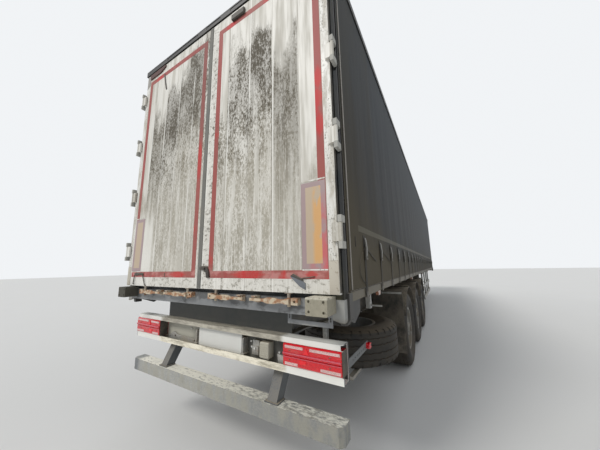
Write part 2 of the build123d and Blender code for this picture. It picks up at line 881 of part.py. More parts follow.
# Tail lamps: long ridged lenses seated in the light bar's ends, and a small lamp at the end of each strip
lamp_rear_x = light_bar_x - lamp_stand
lamp_front_x = rear_plate_x - bar_sheet
lamp_middle = (lamp_low + lamp_top) / 2
strip_lamp_length = 50
strip_lamp_stand = 26
strip_lamp_x = rear_plate_x + strip_length - strip_lamp_length
with BuildPart() as tail_lamps:
    with BuildSketch(at_side(lamp_outer_y)):
        outline(
            (lamp_front_x, lamp_low), (lamp_front_x, lamp_top),
            (lamp_rear_x + lamp_bevel, lamp_top), (lamp_rear_x, lamp_top - lamp_bevel),
            (lamp_rear_x, lamp_middle + 2 * lamp_ridge), (lamp_rear_x - lamp_ridge, lamp_middle + lamp_ridge),
            (lamp_rear_x - lamp_ridge, lamp_middle), (lamp_rear_x + lamp_ridge, lamp_middle - lamp_ridge),
            (lamp_rear_x, lamp_middle - 2 * lamp_ridge),
            (lamp_rear_x, lamp_low + lamp_bevel), (lamp_rear_x + lamp_bevel, lamp_low),
        )
    extrude(amount=lamp_outer_y - lamp_inner_y)
    with BuildSketch(at_side(light_bar_half + strip_lamp_stand)):
        with Locations((strip_lamp_x + strip_lamp_length / 2, (strip_low + strip_high) / 2)):
            RectangleRounded(strip_lamp_length, strip_high - strip_low - 2 * lamp_bevel, lamp_bevel)
    extrude(amount=strip_lamp_stand)
    mirror(about=Plane.XZ)
finish(tail_lamps, "tail_lamps")

# Side marker lamps under the side rails
with BuildPart() as marker_lamps:
    with BuildSketch(at_side(side_outer_y - bar_sheet)):
        for marker_x in marker_places:
            with Locations((marker_x, side_low - marker_height / 2)):
                Trapezoid(marker_length, marker_height, 70, rotation=180)
    extrude(amount=marker_depth)
    mirror(about=Plane.XZ)
finish(marker_lamps, "marker_lamps")

# Underrun bar: a hollow box across the rear with bevelled ends
with BuildPart() as underrun_bar:
    with BuildSketch(at_level(underrun_low)):
        outline(
            (underrun_x, underrun_half - underrun_bevel), (underrun_x + underrun_bevel, underrun_half),
            (underrun_x + underrun_depth, underrun_half), (underrun_x + underrun_depth, -underrun_half),
            (underrun_x + underrun_bevel, -underrun_half), (underrun_x, -underrun_half + underrun_bevel),
        )
    extrude(amount=underrun_height)
    block(
        underrun_x + underrun_wall, underrun_x + underrun_depth - underrun_wall,
        -underrun_half + underrun_plug, underrun_half - underrun_plug,
        underrun_low + underrun_wall, underrun_top - underrun_wall, mode=Mode.SUBTRACT,
    )
finish(underrun_bar, "underrun_bar")

# Underrun arms: sloping channels from the main rails down to a shoe on the bar
arm_top_rear_x = rail_rear_x + underrun_arm_lean
arm_top_front_x = rail_rear_x + 2 * underrun_arm_lean
arm_foot_rear_x = underrun_x + underrun_shoe * 2
arm_foot_front_x = underrun_x + underrun_depth - underrun_shoe
with BuildPart() as underrun_arms:
    with BuildSketch(at_side(underrun_arm_y + underrun_arm_width / 2)):
        outline(
            (arm_foot_rear_x, underrun_top), (arm_foot_front_x, underrun_top),
            (arm_top_front_x, rail_rear_low), (arm_top_rear_x, rail_rear_low),
        )
    extrude(amount=underrun_arm_width)
    with BuildSketch(at_side(underrun_arm_y + underrun_arm_width / 2 - underrun_arm_wall)):
        outline(
            (arm_foot_rear_x + underrun_arm_wall, underrun_top + underrun_shoe),
            (arm_foot_front_x + underrun_arm_width, underrun_top + underrun_shoe),
            (arm_top_front_x + underrun_arm_width, rail_rear_low - underrun_shoe),
            (arm_top_rear_x + underrun_arm_wall, rail_rear_low - underrun_shoe),
        )
    extrude(amount=underrun_arm_width - 2 * underrun_arm_wall, mode=Mode.SUBTRACT)
    with BuildSketch(at_level(underrun_top)):
        with Locations((underrun_x + underrun_depth / 2, underrun_arm_y)):
            Rectangle(underrun_depth - 2 * underrun_shoe, underrun_arm_width + 4 * underrun_shoe)
    extrude(amount=underrun_shoe)
    mirror(about=Plane.XZ)
finish(underrun_arms, "underrun_arms")

# Rear plate across the ends of the main rails
with BuildPart() as rear_plate:
    block(rear_plate_x, rail_rear_x, -rear_plate_half, rear_plate_half, rear_plate_low, sill_low)
finish(rear_plate, "rear_plate")

# Axle beams with spindles and brake shields
with BuildPart() as axle_beams:
    for axle_x in axle_places:
        for side in (1, -1):
            with BuildSketch(wheel_plane(axle_x, side * track_half, wheel_height, side)):
                outline(
                    (-track_half, 0), (-track_half, beam_radius), (-shield_inner, beam_radius),
                    (-shield_inner, shield_radius), (shield_thick - shield_inner, shield_radius),
                    (shield_thick - shield_inner, spindle_radius), (spindle_reach, spindle_radius),
                    (spindle_reach, 0),
                )
            revolve(axis=Axis((axle_x, 0, wheel_height), (0, 1, 0)))
finish(axle_beams, "axle_beams")

# Trailing arms over the axles, each with its eye ahead and a spring seat behind
arm_outline = (
    (pivot_ahead, pivot_height + eye_radius), (150, pivot_height + 60), (-130, pivot_height + 32),
    (-220, spring_seat), (-450, spring_seat), (-450, spring_seat - spring_plate),
    (-200, wheel_height + 24), (80, wheel_height + 39), (pivot_ahead, pivot_height - eye_radius),
)
with BuildPart() as trailing_arm:
    with BuildSketch(at_side(rail_y + arm_width / 2)):
        outline(*arm_outline)
        with Locations((pivot_ahead, pivot_height)):
            Circle(eye_radius)
            Circle(eye_pin_radius + seat_gap, mode=Mode.SUBTRACT)
        with Locations((0, wheel_height)):
            Circle(beam_radius + seat_gap, mode=Mode.SUBTRACT)
    extrude(amount=arm_width)
    mirror(about=Plane.XZ)
with BuildPart() as trailing_arms:
    with Locations(*axle_steps):
        add(trailing_arm.part)
finish(trailing_arms, "trailing_arms")

# Hanger brackets under the main rails, with the pin through each arm's eye
hanger_top_rear = pivot_ahead - 110
hanger_top_front = pivot_ahead + 120
hanger_foot_rear = pivot_ahead - eye_radius
hanger_foot_front = pivot_ahead + 60
hanger_foot = pivot_height - 60
with BuildPart() as hanger:
    with BuildSketch(at_side(rail_y + hanger_half)):
        outline(
            (hanger_top_rear, rail_low), (hanger_top_front, rail_low),
            (hanger_foot_front, hanger_foot), (hanger_foot_rear, hanger_foot),
        )
    extrude(amount=2 * hanger_half)
    with BuildSketch(at_side(rail_y + hanger_half - hanger_thick)):
        outline(
            (hanger_top_rear - hanger_thick, rail_low - hanger_thick),
            (hanger_top_front - hanger_thick, rail_low - hanger_thick),
            (hanger_foot_front - hanger_thick, hanger_foot - hanger_thick),
            (hanger_foot_rear - eye_radius, hanger_foot - hanger_thick),
        )
    extrude(amount=2 * (hanger_half - hanger_thick), mode=Mode.SUBTRACT)
    with BuildSketch(at_side(rail_y + hanger_half)):
        with Locations((pivot_ahead, pivot_height)):
            Circle(eye_pin_radius)
    extrude(amount=2 * hanger_half)
    mirror(about=Plane.XZ)
with BuildPart() as hanger_brackets:
    with Locations(*axle_steps):
        add(hanger.part)
finish(hanger_brackets, "hanger_brackets")

# Air springs between the arms' seats and the rails: a piston, the rolled bellows and the top plate
piston_radius = 90
piston_height = 90
bellows_neck = spring_radius - 15
bellows_roll = 20
spring_cap = 12
bellows_middle = (spring_seat + rail_low) / 2 + 45
with BuildPart() as air_spring:
    with BuildSketch(Plane(origin=(-spring_back, rail_y, 0), x_dir=(1, 0, 0), z_dir=(0, -1, 0))):
        with BuildLine():
            Polyline(
                (0, rail_low), (0, spring_seat), (piston_radius - 10, spring_seat),
                (piston_radius, spring_seat + piston_height),
                (bellows_neck, spring_seat + piston_height + bellows_roll),
            )
            ThreePointArc(
                (bellows_neck, spring_seat + piston_height + bellows_roll), (spring_radius, bellows_middle),
                (bellows_neck, rail_low - spring_cap),
            )
            Polyline((bellows_neck, rail_low - spring_cap), (bellows_neck, rail_low), (0, rail_low))
        make_face()
    revolve(axis=Axis((-spring_back, rail_y, 0), (0, 0, 1)))
    mirror(about=Plane.XZ)
with BuildPart() as air_springs:
    with Locations(*axle_steps):
        add(air_spring.part)
finish(air_springs, "air_springs")

# Dampers beside the arms, each on a pin from the arm and one from the hanger
damper_run = Vector(damper_head[0] - damper_foot[0], 0, damper_head[1] - damper_foot[1])
damper_way = damper_run.normalized()
foot_point = Vector(damper_foot[0], damper_y, damper_foot[1])
head_point = Vector(damper_head[0], damper_y, damper_head[1])
with BuildPart() as damper:
    for start, reach, radius in (
        (foot_point, damper_run.length * 0.6, damper_radius),
        (head_point - damper_way * damper_run.length * 0.55, damper_run.length * 0.55, damper_cover_radius),
    ):
        with BuildSketch(Plane(origin=start, x_dir=(0, 1, 0), z_dir=damper_way)):
            Circle(radius)
        extrude(amount=reach)
    for (pin_x, pin_z), seat_y in ((damper_foot, rail_y + arm_width / 2), (damper_head, rail_y + hanger_half)):
        with BuildSketch(at_side(damper_y + damper_eye_radius)):
            with Locations((pin_x, pin_z)):
                Circle(damper_eye_radius)
        extrude(amount=2 * damper_eye_radius)
        with BuildSketch(at_side(damper_y)):
            with Locations((pin_x, pin_z)):
                Circle(damper_pin_radius)
        extrude(amount=damper_y - seat_y)
    mirror(about=Plane.XZ)
with BuildPart() as dampers:
    with Locations(*axle_steps):
        add(damper.part)
finish(dampers, "dampers")

# Brake chambers, each on a bracket on its axle, with the slack adjuster and the camshaft to the shield
chamber_centre = (0, chamber_y, chamber_height)
chamber_waist = chamber_radius - 8
bracket_thick = 12
bracket_y = chamber_y + 2 * slack_width
chamber_profile = (
    (0, 0), (0, 70), (45, chamber_waist), (55, chamber_radius), (75, chamber_radius), (85, chamber_waist),
    (150, chamber_waist), (160, chamber_radius), (178, chamber_radius), (chamber_length, 60),
    (chamber_length, 0),
)
with BuildPart() as brake_chamber:
    with BuildSketch(Plane(origin=chamber_centre, x_dir=(1, 0, 0), z_dir=(0, -1, 0))):
        outline(*[(chamber_face_x + along, radius) for along, radius in chamber_profile])
    revolve(axis=Axis(chamber_centre, (1, 0, 0)))
    with BuildSketch(at_side(bracket_y)):
        outline(
            (chamber_face_x + 4, chamber_height + 60), (chamber_face_x + 4, wheel_height + 20),
            (40, wheel_height + 20), (40, wheel_height + 70), (chamber_face_x - 8, chamber_height + 60),
        )
        with Locations((0, wheel_height)):
            Circle(beam_radius + seat_gap, mode=Mode.SUBTRACT)
    extrude(amount=bracket_thick)
    with BuildSketch(at_side(chamber_y + slack_width / 2)):
        outline(
            (camshaft_x - 22, camshaft_height), (camshaft_x + 22, camshaft_height),
            (chamber_face_x, chamber_height - 12), (chamber_face_x, chamber_height + 12),
            (camshaft_x - 10, chamber_height + 12),
        )
        with Locations((camshaft_x, camshaft_height)):
            Circle(22)
    extrude(amount=slack_width)
    with BuildSketch(at_side(track_half - shield_inner)):
        with Locations((camshaft_x, camshaft_height)):
            Circle(camshaft_radius)
    extrude(amount=track_half - shield_inner - chamber_y)
    mirror(about=Plane.XZ)
with BuildPart() as brake_chambers:
    with Locations(*axle_steps):
        add(brake_chamber.part)
finish(brake_chambers, "brake_chambers")

# Mudguards over the wheels, on tubes from the rails, and the rear mudflaps
lift = radians(guard_half_angle)
guard_tip_x = guard_radius * sin(lift)
guard_tip_z = wheel_height + guard_radius * cos(lift)
outer_tip_x = (guard_radius + guard_thick) * sin(lift)
outer_tip_z = wheel_height + (guard_radius + guard_thick) * cos(lift)
with BuildPart() as mudguard:
    with BuildSketch(at_side(guard_outer_y)):
        with BuildLine():
            ThreePointArc(
                (-guard_tip_x, guard_tip_z), (0, wheel_height + guard_radius), (guard_tip_x, guard_tip_z),
            )
            Line((guard_tip_x, guard_tip_z), (outer_tip_x, outer_tip_z))
            ThreePointArc(
                (outer_tip_x, outer_tip_z), (0, wheel_height + guard_radius + guard_thick),
                (-outer_tip_x, outer_tip_z),
            )
            Line((-outer_tip_x, outer_tip_z), (-guard_tip_x, guard_tip_z))
        make_face()
    extrude(amount=guard_outer_y - guard_inner_y)
    with BuildSketch(at_side(guard_outer_y - stay_inset)):
        with Locations((0, stay_height)):
            Circle(stay_radius)
    extrude(amount=guard_outer_y - stay_inset - web_outer_y)
    mirror(about=Plane.XZ)
with BuildPart() as mudflap:
    with BuildSketch(at_side(guard_outer_y)):
        with Locations((flap_x, stay_height)):
            Circle(stay_radius)
    extrude(amount=guard_outer_y - web_outer_y)
    block(flap_x - flap_thick / 2, flap_x + flap_thick / 2, guard_inner_y, guard_outer_y, flap_low, stay_height)
    mirror(about=Plane.XZ)
with BuildPart() as mudguards:
    with Locations(*axle_steps):
        add(mudguard.part)
    add(mudflap.part)
finish(mudguards, "mudguards")

# Wheel and tyre sections, as (outward, radius) from the wheel's middle
tyre_half = tyre_width / 2
flange_radius = 306
rim_lip = 8
rim_wall = 10
rim_inner = seat_radius - rim_wall
rim_end = rim_half + rim_lip
disc_face = 118
disc_back = disc_face - rim_wall
dish_face = 105
dish_radius = 215
hub_end = 175
hub_bore = spindle_radius + bearing_play
drum_radius = 205
drum_wall = 15
drum_inner_end = -115
tyre_profile = (
    (rim_half - seat_gap, seat_radius + seat_gap), (rim_half - seat_gap, flange_radius + seat_gap),
    (rim_end + seat_gap, flange_radius + seat_gap), (tyre_half - 24, flange_radius + 29), (tyre_half, 412),
    (tyre_half - 8, 480), (tyre_half - 30, 523), (tyre_half - 52, tyre_radius),
)
wheel_profile = (
    (hub_end, 0), (hub_end, 58), (150, 74), (122, 78), (122, 150), (dish_face, dish_radius), (disc_face, 262),
    (disc_face, rim_inner), (rim_end, rim_inner), (rim_end, flange_radius), (rim_half, flange_radius),
    (rim_half, seat_radius), (-rim_half, seat_radius), (-rim_half, flange_radius), (-rim_end, flange_radius),
    (-rim_end, rim_inner), (disc_back, rim_inner), (disc_back, 262), (dish_face - rim_wall, dish_radius),
    (98, drum_radius), (drum_inner_end, drum_radius), (drum_inner_end, drum_radius - drum_wall),
    (95, drum_radius - drum_wall), (95, 80), (-100, 80), (-100, hub_bore), (150, hub_bore), (150, 0),
)
hand_holes = 10
hand_hole_radius = 26
hand_hole_circle = 232
for place, axle_x in zip(("front", "middle", "rear"), axle_places):
    for side_name, side in (("left", 1), ("right", -1)):
        section = wheel_plane(axle_x, side * track_half, wheel_height, side)
        turning_axis = Axis((axle_x, 0, wheel_height), (0, 1, 0))
        with BuildPart() as tyre:
            with BuildSketch(section):
                outline(*tyre_profile, *[(-across, radius) for across, radius in reversed(tyre_profile)])
            revolve(axis=turning_axis)
        finish(tyre, f"tyre_{place}_{side_name}")
        with BuildPart() as wheel:
            with BuildSketch(section):
                outline(*wheel_profile)
            revolve(axis=turning_axis)
            hole_face = (axle_x, side * (track_half + dish_face - rim_wall - 5), wheel_height)
            with BuildSketch(Plane(origin=hole_face, x_dir=(1, 0, 0), z_dir=(0, side, 0))):
                with PolarLocations(hand_hole_circle, hand_holes):
                    Circle(hand_hole_radius)
            extrude(amount=4 * rim_wall, mode=Mode.SUBTRACT)
        finish(wheel, f"wheel_{place}_{side_name}")

# Spare wheel lying flat under the right rail, and its cradle with the winch
spare_mid_z = spare_low + tyre_width / 2
spare_hub_radius = 90
cradle_reach = tyre_radius + cradle_side_room
with BuildPart() as spare_wheel:
    with BuildSketch(Plane(origin=(spare_x, spare_y, spare_mid_z), x_dir=(0, 0, -1), z_dir=(0, 1, 0))):
        outline(
            (rim_end, rim_inner), *tyre_profile[2:],
            *[(-across, radius) for across, radius in reversed(tyre_profile[2:])],
            (-rim_end, rim_inner), (disc_back, rim_inner), (dish_face - rim_wall, dish_radius), (112, 150),
            (112, spare_hub_radius), (122, spare_hub_radius), (122, 150), (dish_face, dish_radius),
            (disc_face, 262), (disc_face, rim_inner),
        )
    revolve(axis=Axis((spare_x, spare_y, 0), (0, 0, 1)))
finish(spare_wheel, "spare_wheel")
rail_slope = (rail_rear_low - rail_low) / (rail_taper_x - rail_step_x)
with BuildPart() as spare_cradle:
    for bar_y in (spare_y - cradle_bar_y, spare_y + cradle_bar_y):
        block(
            spare_x - cradle_reach - cradle_bar, spare_x + cradle_reach + cradle_bar,
            bar_y - cradle_bar / 2, bar_y + cradle_bar / 2, spare_low - cradle_height, spare_low,
        )
    for bar_x in (spare_x - cradle_reach - cradle_bar / 2, spare_x + cradle_reach + cradle_bar / 2):
        block(
            bar_x - cradle_bar / 2, bar_x + cradle_bar / 2, spare_y - cradle_bar_y, spare_y + cradle_bar_y,
            spare_low - cradle_height, spare_low,
        )
        with BuildSketch(at_level(spare_low)):
            with Locations((bar_x, -rail_y)):
                Rectangle(cradle_bar, cradle_bar)
        lowest_x = min(bar_x + cradle_bar / 2, rail_taper_x)
        extrude(amount=rail_low + rail_slope * (rail_taper_x - lowest_x) - spare_low)
    block(
        winch_x - winch_square / 2, winch_x + winch_square / 2, -winch_outer_y, -winch_inner_y,
        winch_height - winch_square / 2, frame_top,
    )
    with BuildSketch(at_side(-winch_outer_y)):
        with Locations((winch_x, winch_height)):
            Circle(winch_stub_radius)
    extrude(amount=winch_stub_end_y - winch_outer_y)
finish(spare_cradle, "spare_cradle")

# Landing legs: outer tubes on brackets, cross shaft, tie tube with braces, the gearbox and its folded crank
leg_inner_face = leg_y - leg_outer / 2
leg_outer_face = leg_y + leg_outer / 2
crank_y = -leg_outer_face - gearbox_depth
with BuildPart() as landing_legs:
    for side in (1, -1):
        low_y, high_y = sorted((side * leg_inner_face, side * leg_outer_face))
        block(leg_x - leg_outer / 2, leg_x + leg_outer / 2, low_y, high_y, leg_low, leg_top)
        block(
            leg_x - leg_outer / 2 + leg_wall, leg_x + leg_outer / 2 - leg_wall,
            low_y + leg_wall, high_y - leg_wall, leg_low, leg_top - leg_wall, mode=Mode.SUBTRACT,
        )
        plate_y = sorted((side * web_outer_y, side * leg_inner_face))
        block(
            leg_x - leg_bracket_half, leg_x + leg_bracket_half, *plate_y, leg_bracket_low, leg_bracket_high,
        )
        block(
            leg_x - leg_bracket_half + leg_bracket_wall, leg_x + leg_bracket_half - leg_bracket_wall, *plate_y,
            leg_bracket_low + leg_bracket_band, leg_bracket_high - leg_bracket_band, mode=Mode.SUBTRACT,
        )
    with BuildSketch(at_side(leg_inner_face)):
        with Locations((leg_x, leg_shaft_height)):
            Circle(leg_shaft_radius)
        with Locations((leg_x, leg_tie_height)):
            Rectangle(leg_tie, leg_tie)
    extrude(amount=2 * leg_inner_face)
    with BuildSketch(at_station(leg_x + leg_tie / 2 - leg_brace_thick)):
        for side in (1, -1):
            outline(
                (0, leg_tie_height), (side * leg_brace_width, leg_tie_height),
                (side * (rail_y + leg_brace_width / 2), rail_low),
                (side * (rail_y - leg_brace_width / 2), rail_low),
            )
    extrude(amount=leg_brace_thick)
    with BuildSketch(at_side(-leg_outer_face)):
        with Locations((leg_x, leg_shaft_height)):
            Rectangle(gearbox_length, gearbox_height)
    extrude(amount=gearbox_depth)
    with BuildSketch(at_side(crank_y)):
        with Locations((leg_x, leg_shaft_height)):
            Circle(crank_radius)
    extrude(amount=crank_reach)
    block(
        leg_x - crank_radius, leg_x + crank_radius, crank_y - crank_reach,
        crank_y - crank_reach + crank_arm_thick,
        leg_shaft_height - crank_arm, leg_shaft_height,
    )
    with BuildSketch(at_side(crank_y - crank_reach + crank_grip)):
        with Locations((leg_x, leg_shaft_height - crank_arm + crank_radius)):
            Circle(crank_radius)
    extrude(amount=crank_grip)
finish(landing_legs, "landing_legs")
with BuildPart() as leg_feet:
    with Locations((leg_x, leg_y, (leg_inner_top + leg_inner_low) / 2)):
        Box(leg_inner, leg_inner, leg_inner_top - leg_inner_low)
    with Locations((leg_x, leg_y, leg_inner_top - leg_guide_height / 2)):
        Box(leg_guide, leg_guide, leg_guide_height)
    with BuildSketch(at_level(0)):
        with Locations((leg_x, leg_y)):
            RectangleRounded(foot_size, foot_size, foot_corner)
    extrude(amount=foot_thick)
    with BuildSketch(at_side(leg_y + leg_inner / 2)):
        outline(
            (leg_x - ankle_half, foot_thick), (leg_x + ankle_half, foot_thick),
            (leg_x + leg_inner / 2, ankle_height), (leg_x - leg_inner / 2, ankle_height),
        )
    extrude(amount=leg_inner)
    mirror(about=Plane.XZ)
finish(leg_feet, "leg_feet")

# Side guards: two channels on posts under each side rail
first_post_x = side_guard_rear_x + guard_post_inset
guard_post_pitch = (side_guard_front_x - guard_post_inset - first_post_x) / (guard_post_count - 1)
side_guard_inner_y = side_guard_outer_y - side_guard_depth
with BuildPart() as side_guards:
    for step in range(guard_post_count):
        post_x = first_post_x + step * guard_post_pitch
        block(
            post_x - guard_post_width / 2, post_x + guard_post_width / 2,
            side_guard_inner_y - guard_post_depth, side_guard_inner_y, side_guard_levels[0], side_low,
        )
    with BuildSketch(at_station(side_guard_rear_x)):
        for rail_z in side_guard_levels:
            outline(
                (side_guard_inner_y, rail_z), (side_guard_outer_y, rail_z),
                (side_guard_outer_y, rail_z + side_guard_height),
                (side_guard_inner_y, rail_z + side_guard_height),
                (side_guard_inner_y, rail_z + side_guard_height - side_guard_wall),
                (side_guard_outer_y - side_guard_wall, rail_z + side_guard_height - side_guard_wall),
                (side_guard_outer_y - side_guard_wall, rail_z + side_guard_wall),
                (side_guard_inner_y, rail_z + side_guard_wall),
            )
    extrude(amount=side_guard_front_x - side_guard_rear_x)
    mirror(about=Plane.XZ)
finish(side_guards, "side_guards")

# Air tanks with dished ends across the frame, hung from the cross members
tank_radius = 123
tank_half = 408
tank_dome = 52
tank_height = 1040
tank_cross = (11, 12)
tank_strap = 40
tank_strap_y = 280
tank_section = (
    (tank_half, tank_radius), (tank_half + 0.46 * tank_dome, 0.81 * tank_radius),
    (tank_half + 0.85 * tank_dome, 0.45 * tank_radius), (tank_half + tank_dome, 0),
)
with BuildPart() as air_tanks:
    for step in tank_cross:
        tank_x = first_cross_x + cross_pitch * step
        with BuildSketch(wheel_plane(tank_x, 0, tank_height, 1)):
            outline(*tank_section, *[(-across, radius) for across, radius in reversed(tank_section)])
        revolve(axis=Axis((tank_x, 0, tank_height), (0, 1, 0)))
        for strap_y in (-tank_strap_y, tank_strap_y):
            block(
                tank_x - tank_strap / 2, tank_x + tank_strap / 2, strap_y - tank_strap / 2,
                strap_y + tank_strap / 2,
                tank_height + tank_radius - tank_strap / 2, frame_top - cross_height,
            )
finish(air_tanks, "air_tanks")

# Coupling plate under the neck, with the hole for the kingpin
skid_length, skid_x = span(skid_rear_x, rail_front_x)
with BuildPart() as coupling_plate:
    with BuildSketch(at_level(skid_height)):
        with Locations((skid_x, 0)):
            RectangleRounded(skid_length, 2 * skid_half, skid_corner)
        with Locations((kingpin_x, 0)):
            Circle(collar_radius + collar_play, mode=Mode.SUBTRACT)
    extrude(amount=skid_thick)
finish(coupling_plate, "coupling_plate")

# Kingpin with its flange above the plate
head_top = -collar_length - neck_length
head_end = head_top - head_length
flange_top = skid_thick + kingpin_flange_thick
with BuildPart() as kingpin:
    with BuildSketch(Plane(origin=(kingpin_x, 0, skid_height), x_dir=(1, 0, 0), z_dir=(0, -1, 0))):
        outline(
            (0, flange_top), (kingpin_flange_radius, flange_top), (kingpin_flange_radius, skid_thick),
            (collar_radius, skid_thick), (collar_radius, -collar_length), (neck_radius, -collar_length),
            (neck_radius, head_top), (head_radius, head_top), (head_radius, head_end), (0, head_end),
        )
    revolve(axis=Axis((kingpin_x, 0, 0), (0, 0, 1)))
finish(kingpin, "kingpin")

# Coupling panel on the front wall, with two air couplings and two electrical sockets
socket_table = (
    # across, radius, reach from the wall
    (-170, 34, coupler_stand),
    (-60, 34, coupler_stand),
    (60, 26, coupler_stand - 10),
    (170, 26, coupler_stand - 10),
)
socket_height = 1248
panel_half = 240
panel_thick = 12
panel_low = 1195
panel_high = 1300
with BuildPart() as coupling_panel:
    block(front_face_x, front_face_x + panel_thick, -panel_half, panel_half, panel_low, panel_high)
    for socket_y, socket_radius, socket_reach in socket_table:
        with BuildSketch(at_station(front_face_x)):
            with Locations((socket_y, socket_height)):
                Circle(socket_radius)
        extrude(amount=socket_reach)
finish(coupling_panel, "coupling_panel")

# Doors: each a panel, four hinge leaves and a lock set along its lower edge
plank_grooves = 4
plank_groove_width = 3
plank_groove_depth = 2
guide_width, guide_thick = guide_plate
lock_bar_x = door_face_x + door_thick / 2
hub_front_x = lock_bar_x + lock_bar_radius
for side_name, side in (("left", 1), ("right", -1)):
    panel_low_y, panel_high_y = sorted((side * door_gap / 2, side * door_outer_y))
    with BuildPart() as panel:
        block(door_face_x, door_face_x + door_thick, panel_low_y, panel_high_y, door_low, door_top)
        with Locations((door_face_x, (panel_low_y + panel_high_y) / 2, (door_low + door_top) / 2)):
            with GridLocations(0, (panel_high_y - panel_low_y) / (plank_grooves + 1), 1, plank_grooves):
                Box(2 * plank_groove_depth, plank_groove_width, door_top - door_low, mode=Mode.SUBTRACT)
    finish(panel, f"door_{side_name}_panel")
    with BuildPart() as leaves:
        for height in hinge_heights:
            with BuildSketch(at_level(height - leaf_height / 2)):
                leaf_width, leaf_middle = span(pivot_y - leaf_reach, pivot_y)
                with Locations((door_face_x - leaf_thick / 2, side * leaf_middle)):
                    Rectangle(leaf_thick, leaf_width)
                with Locations((pivot_x, side * pivot_y)):
                    Circle(knuckle_radius)
                    Circle(pin_radius + pin_play, mode=Mode.SUBTRACT)
            extrude(amount=leaf_height)
    finish(leaves, f"door_{side_name}_hinges")
    with BuildPart() as locks:
        for bar_y, lever_end, keeper_y in lock_table:
            reach = abs(bar_y - lever_end)
            inward = 1 if lever_end > bar_y else -1
            with BuildSketch(at_level(lock_bar_low)):
                with Locations((lock_bar_x, side * bar_y)):
                    Circle(lock_bar_radius)
            extrude(amount=door_low - lock_bar_low)
            with Locations((lock_bar_x, side * bar_y, door_low - guide_thick / 2)):
                Box(2 * lock_bar_radius, guide_width, guide_thick)
            hub_y = sorted((side * (bar_y - lever_hub_half), side * (bar_y + lever_hub_half)))
            block(lever_back_x, hub_front_x, *hub_y, lever_low - lever_hub_over, lever_high + lever_hub_over)
            with BuildSketch(at_station(lever_back_x)):
                lever_z = (lever_low + lever_high) / 2
                half = (lever_high - lever_low) / 2
                upper = ((0, half), (0.2, half), (0.3, lever_swell), (0.5, lever_swell), (0.62, lever_waist),
                         (1, lever_waist))
                lower = [(share, -rise) for share, rise in reversed(upper)]
                outline(*[
                    (side * (bar_y + inward * share * reach), lever_z + rise)
                    for share, rise in (*upper, *lower)
                ])
            extrude(amount=lever_thick)
    finish(locks, f"door_{side_name}_locks")

# Fittings at the doors' heads: a flat bracket on the left door and a stop block on the right one
bracket_outer_y = 1150
bracket_inner_y = 830
bracket_low = door_top - 72
bracket_stand = 12
bracket_cut = 95
stop_outer_y = 430
stop_inner_y = 280
stop_low = door_top - 115
stop_high = door_top - 50
stop_stand = 25
stop_bevel = 8
with BuildPart() as left_bracket:
    with BuildSketch(at_station(door_face_x - bracket_stand)):
        outline(
            (bracket_outer_y, bracket_low), (bracket_outer_y, door_top - bracket_stand),
            (bracket_inner_y, door_top - bracket_stand), (bracket_inner_y, door_top - 3 * bracket_stand),
            (bracket_inner_y + bracket_cut, bracket_low),
        )
    extrude(amount=bracket_stand)
finish(left_bracket, "door_left_bracket")
with BuildPart() as right_stop:
    with BuildSketch(at_side(-stop_inner_y)):
        outline(
            (door_face_x, stop_low), (door_face_x, stop_high),
            (door_face_x - stop_stand + stop_bevel, stop_high),
            (door_face_x - stop_stand, stop_high - stop_bevel),
            (door_face_x - stop_stand, stop_low + stop_bevel),
            (door_face_x - stop_stand + stop_bevel, stop_low),
        )
    extrude(amount=stop_outer_y - stop_inner_y)
finish(right_stop, "door_right_stop")
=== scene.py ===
from fnmatch import fnmatch
from math import cos, pi, radians, sin

import bpy
from mathutils import Matrix, Vector


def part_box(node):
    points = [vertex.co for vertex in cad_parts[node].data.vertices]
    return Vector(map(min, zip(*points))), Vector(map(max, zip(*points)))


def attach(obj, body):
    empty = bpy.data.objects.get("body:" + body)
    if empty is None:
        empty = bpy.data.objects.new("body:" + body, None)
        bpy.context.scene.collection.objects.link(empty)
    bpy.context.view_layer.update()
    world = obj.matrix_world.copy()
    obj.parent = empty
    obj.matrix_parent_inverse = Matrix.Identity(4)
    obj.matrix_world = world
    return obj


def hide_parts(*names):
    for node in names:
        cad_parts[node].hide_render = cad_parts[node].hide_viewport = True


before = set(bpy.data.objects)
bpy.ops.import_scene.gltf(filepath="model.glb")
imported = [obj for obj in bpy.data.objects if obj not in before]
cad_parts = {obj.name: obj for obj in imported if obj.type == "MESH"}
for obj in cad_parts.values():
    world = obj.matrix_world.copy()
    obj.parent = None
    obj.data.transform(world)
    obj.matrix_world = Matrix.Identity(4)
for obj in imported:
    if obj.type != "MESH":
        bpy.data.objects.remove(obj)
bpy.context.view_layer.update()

# The trailer stands on Z 0, runs forward along X and has its left side at positive Y. Metres.
(door_x, _, door_low_z), (_, _, door_top_z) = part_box("door_right_panel")
door_outer_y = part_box("door_left_panel")[1].y
SIDES = (("left", 1), ("right", -1))


# Camera, where the photographer stood, with its very wide lens
def aim_camera():
    behind_doors, beside_middle, eye_height = 1.305, -1.745, 1.512
    turn_left, tilt_up, lean = radians(30.65), radians(10.02), radians(-1.05)
    ahead = Vector((cos(turn_left) * cos(tilt_up), sin(turn_left) * cos(tilt_up), sin(tilt_up)))
    across = Vector((sin(turn_left), -cos(turn_left), 0))
    upward = across.cross(ahead)
    across_leaned = cos(lean) * across + sin(lean) * upward
    upward_leaned = cos(lean) * upward - sin(lean) * across
    facing = Matrix((across_leaned, upward_leaned, -ahead)).transposed().to_4x4()
    lens = bpy.data.cameras.new("photo_camera")
    lens.sensor_width = 36
    lens.lens = 14.19
    lens.clip_start = 0.05
    lens.clip_end = 400
    camera = bpy.data.objects.new("photo_camera", lens)
    camera.matrix_world = Matrix.Translation((door_x - behind_doors, beside_middle, eye_height)) @ facing
    bpy.context.collection.objects.link(camera)
    bpy.context.scene.camera = camera


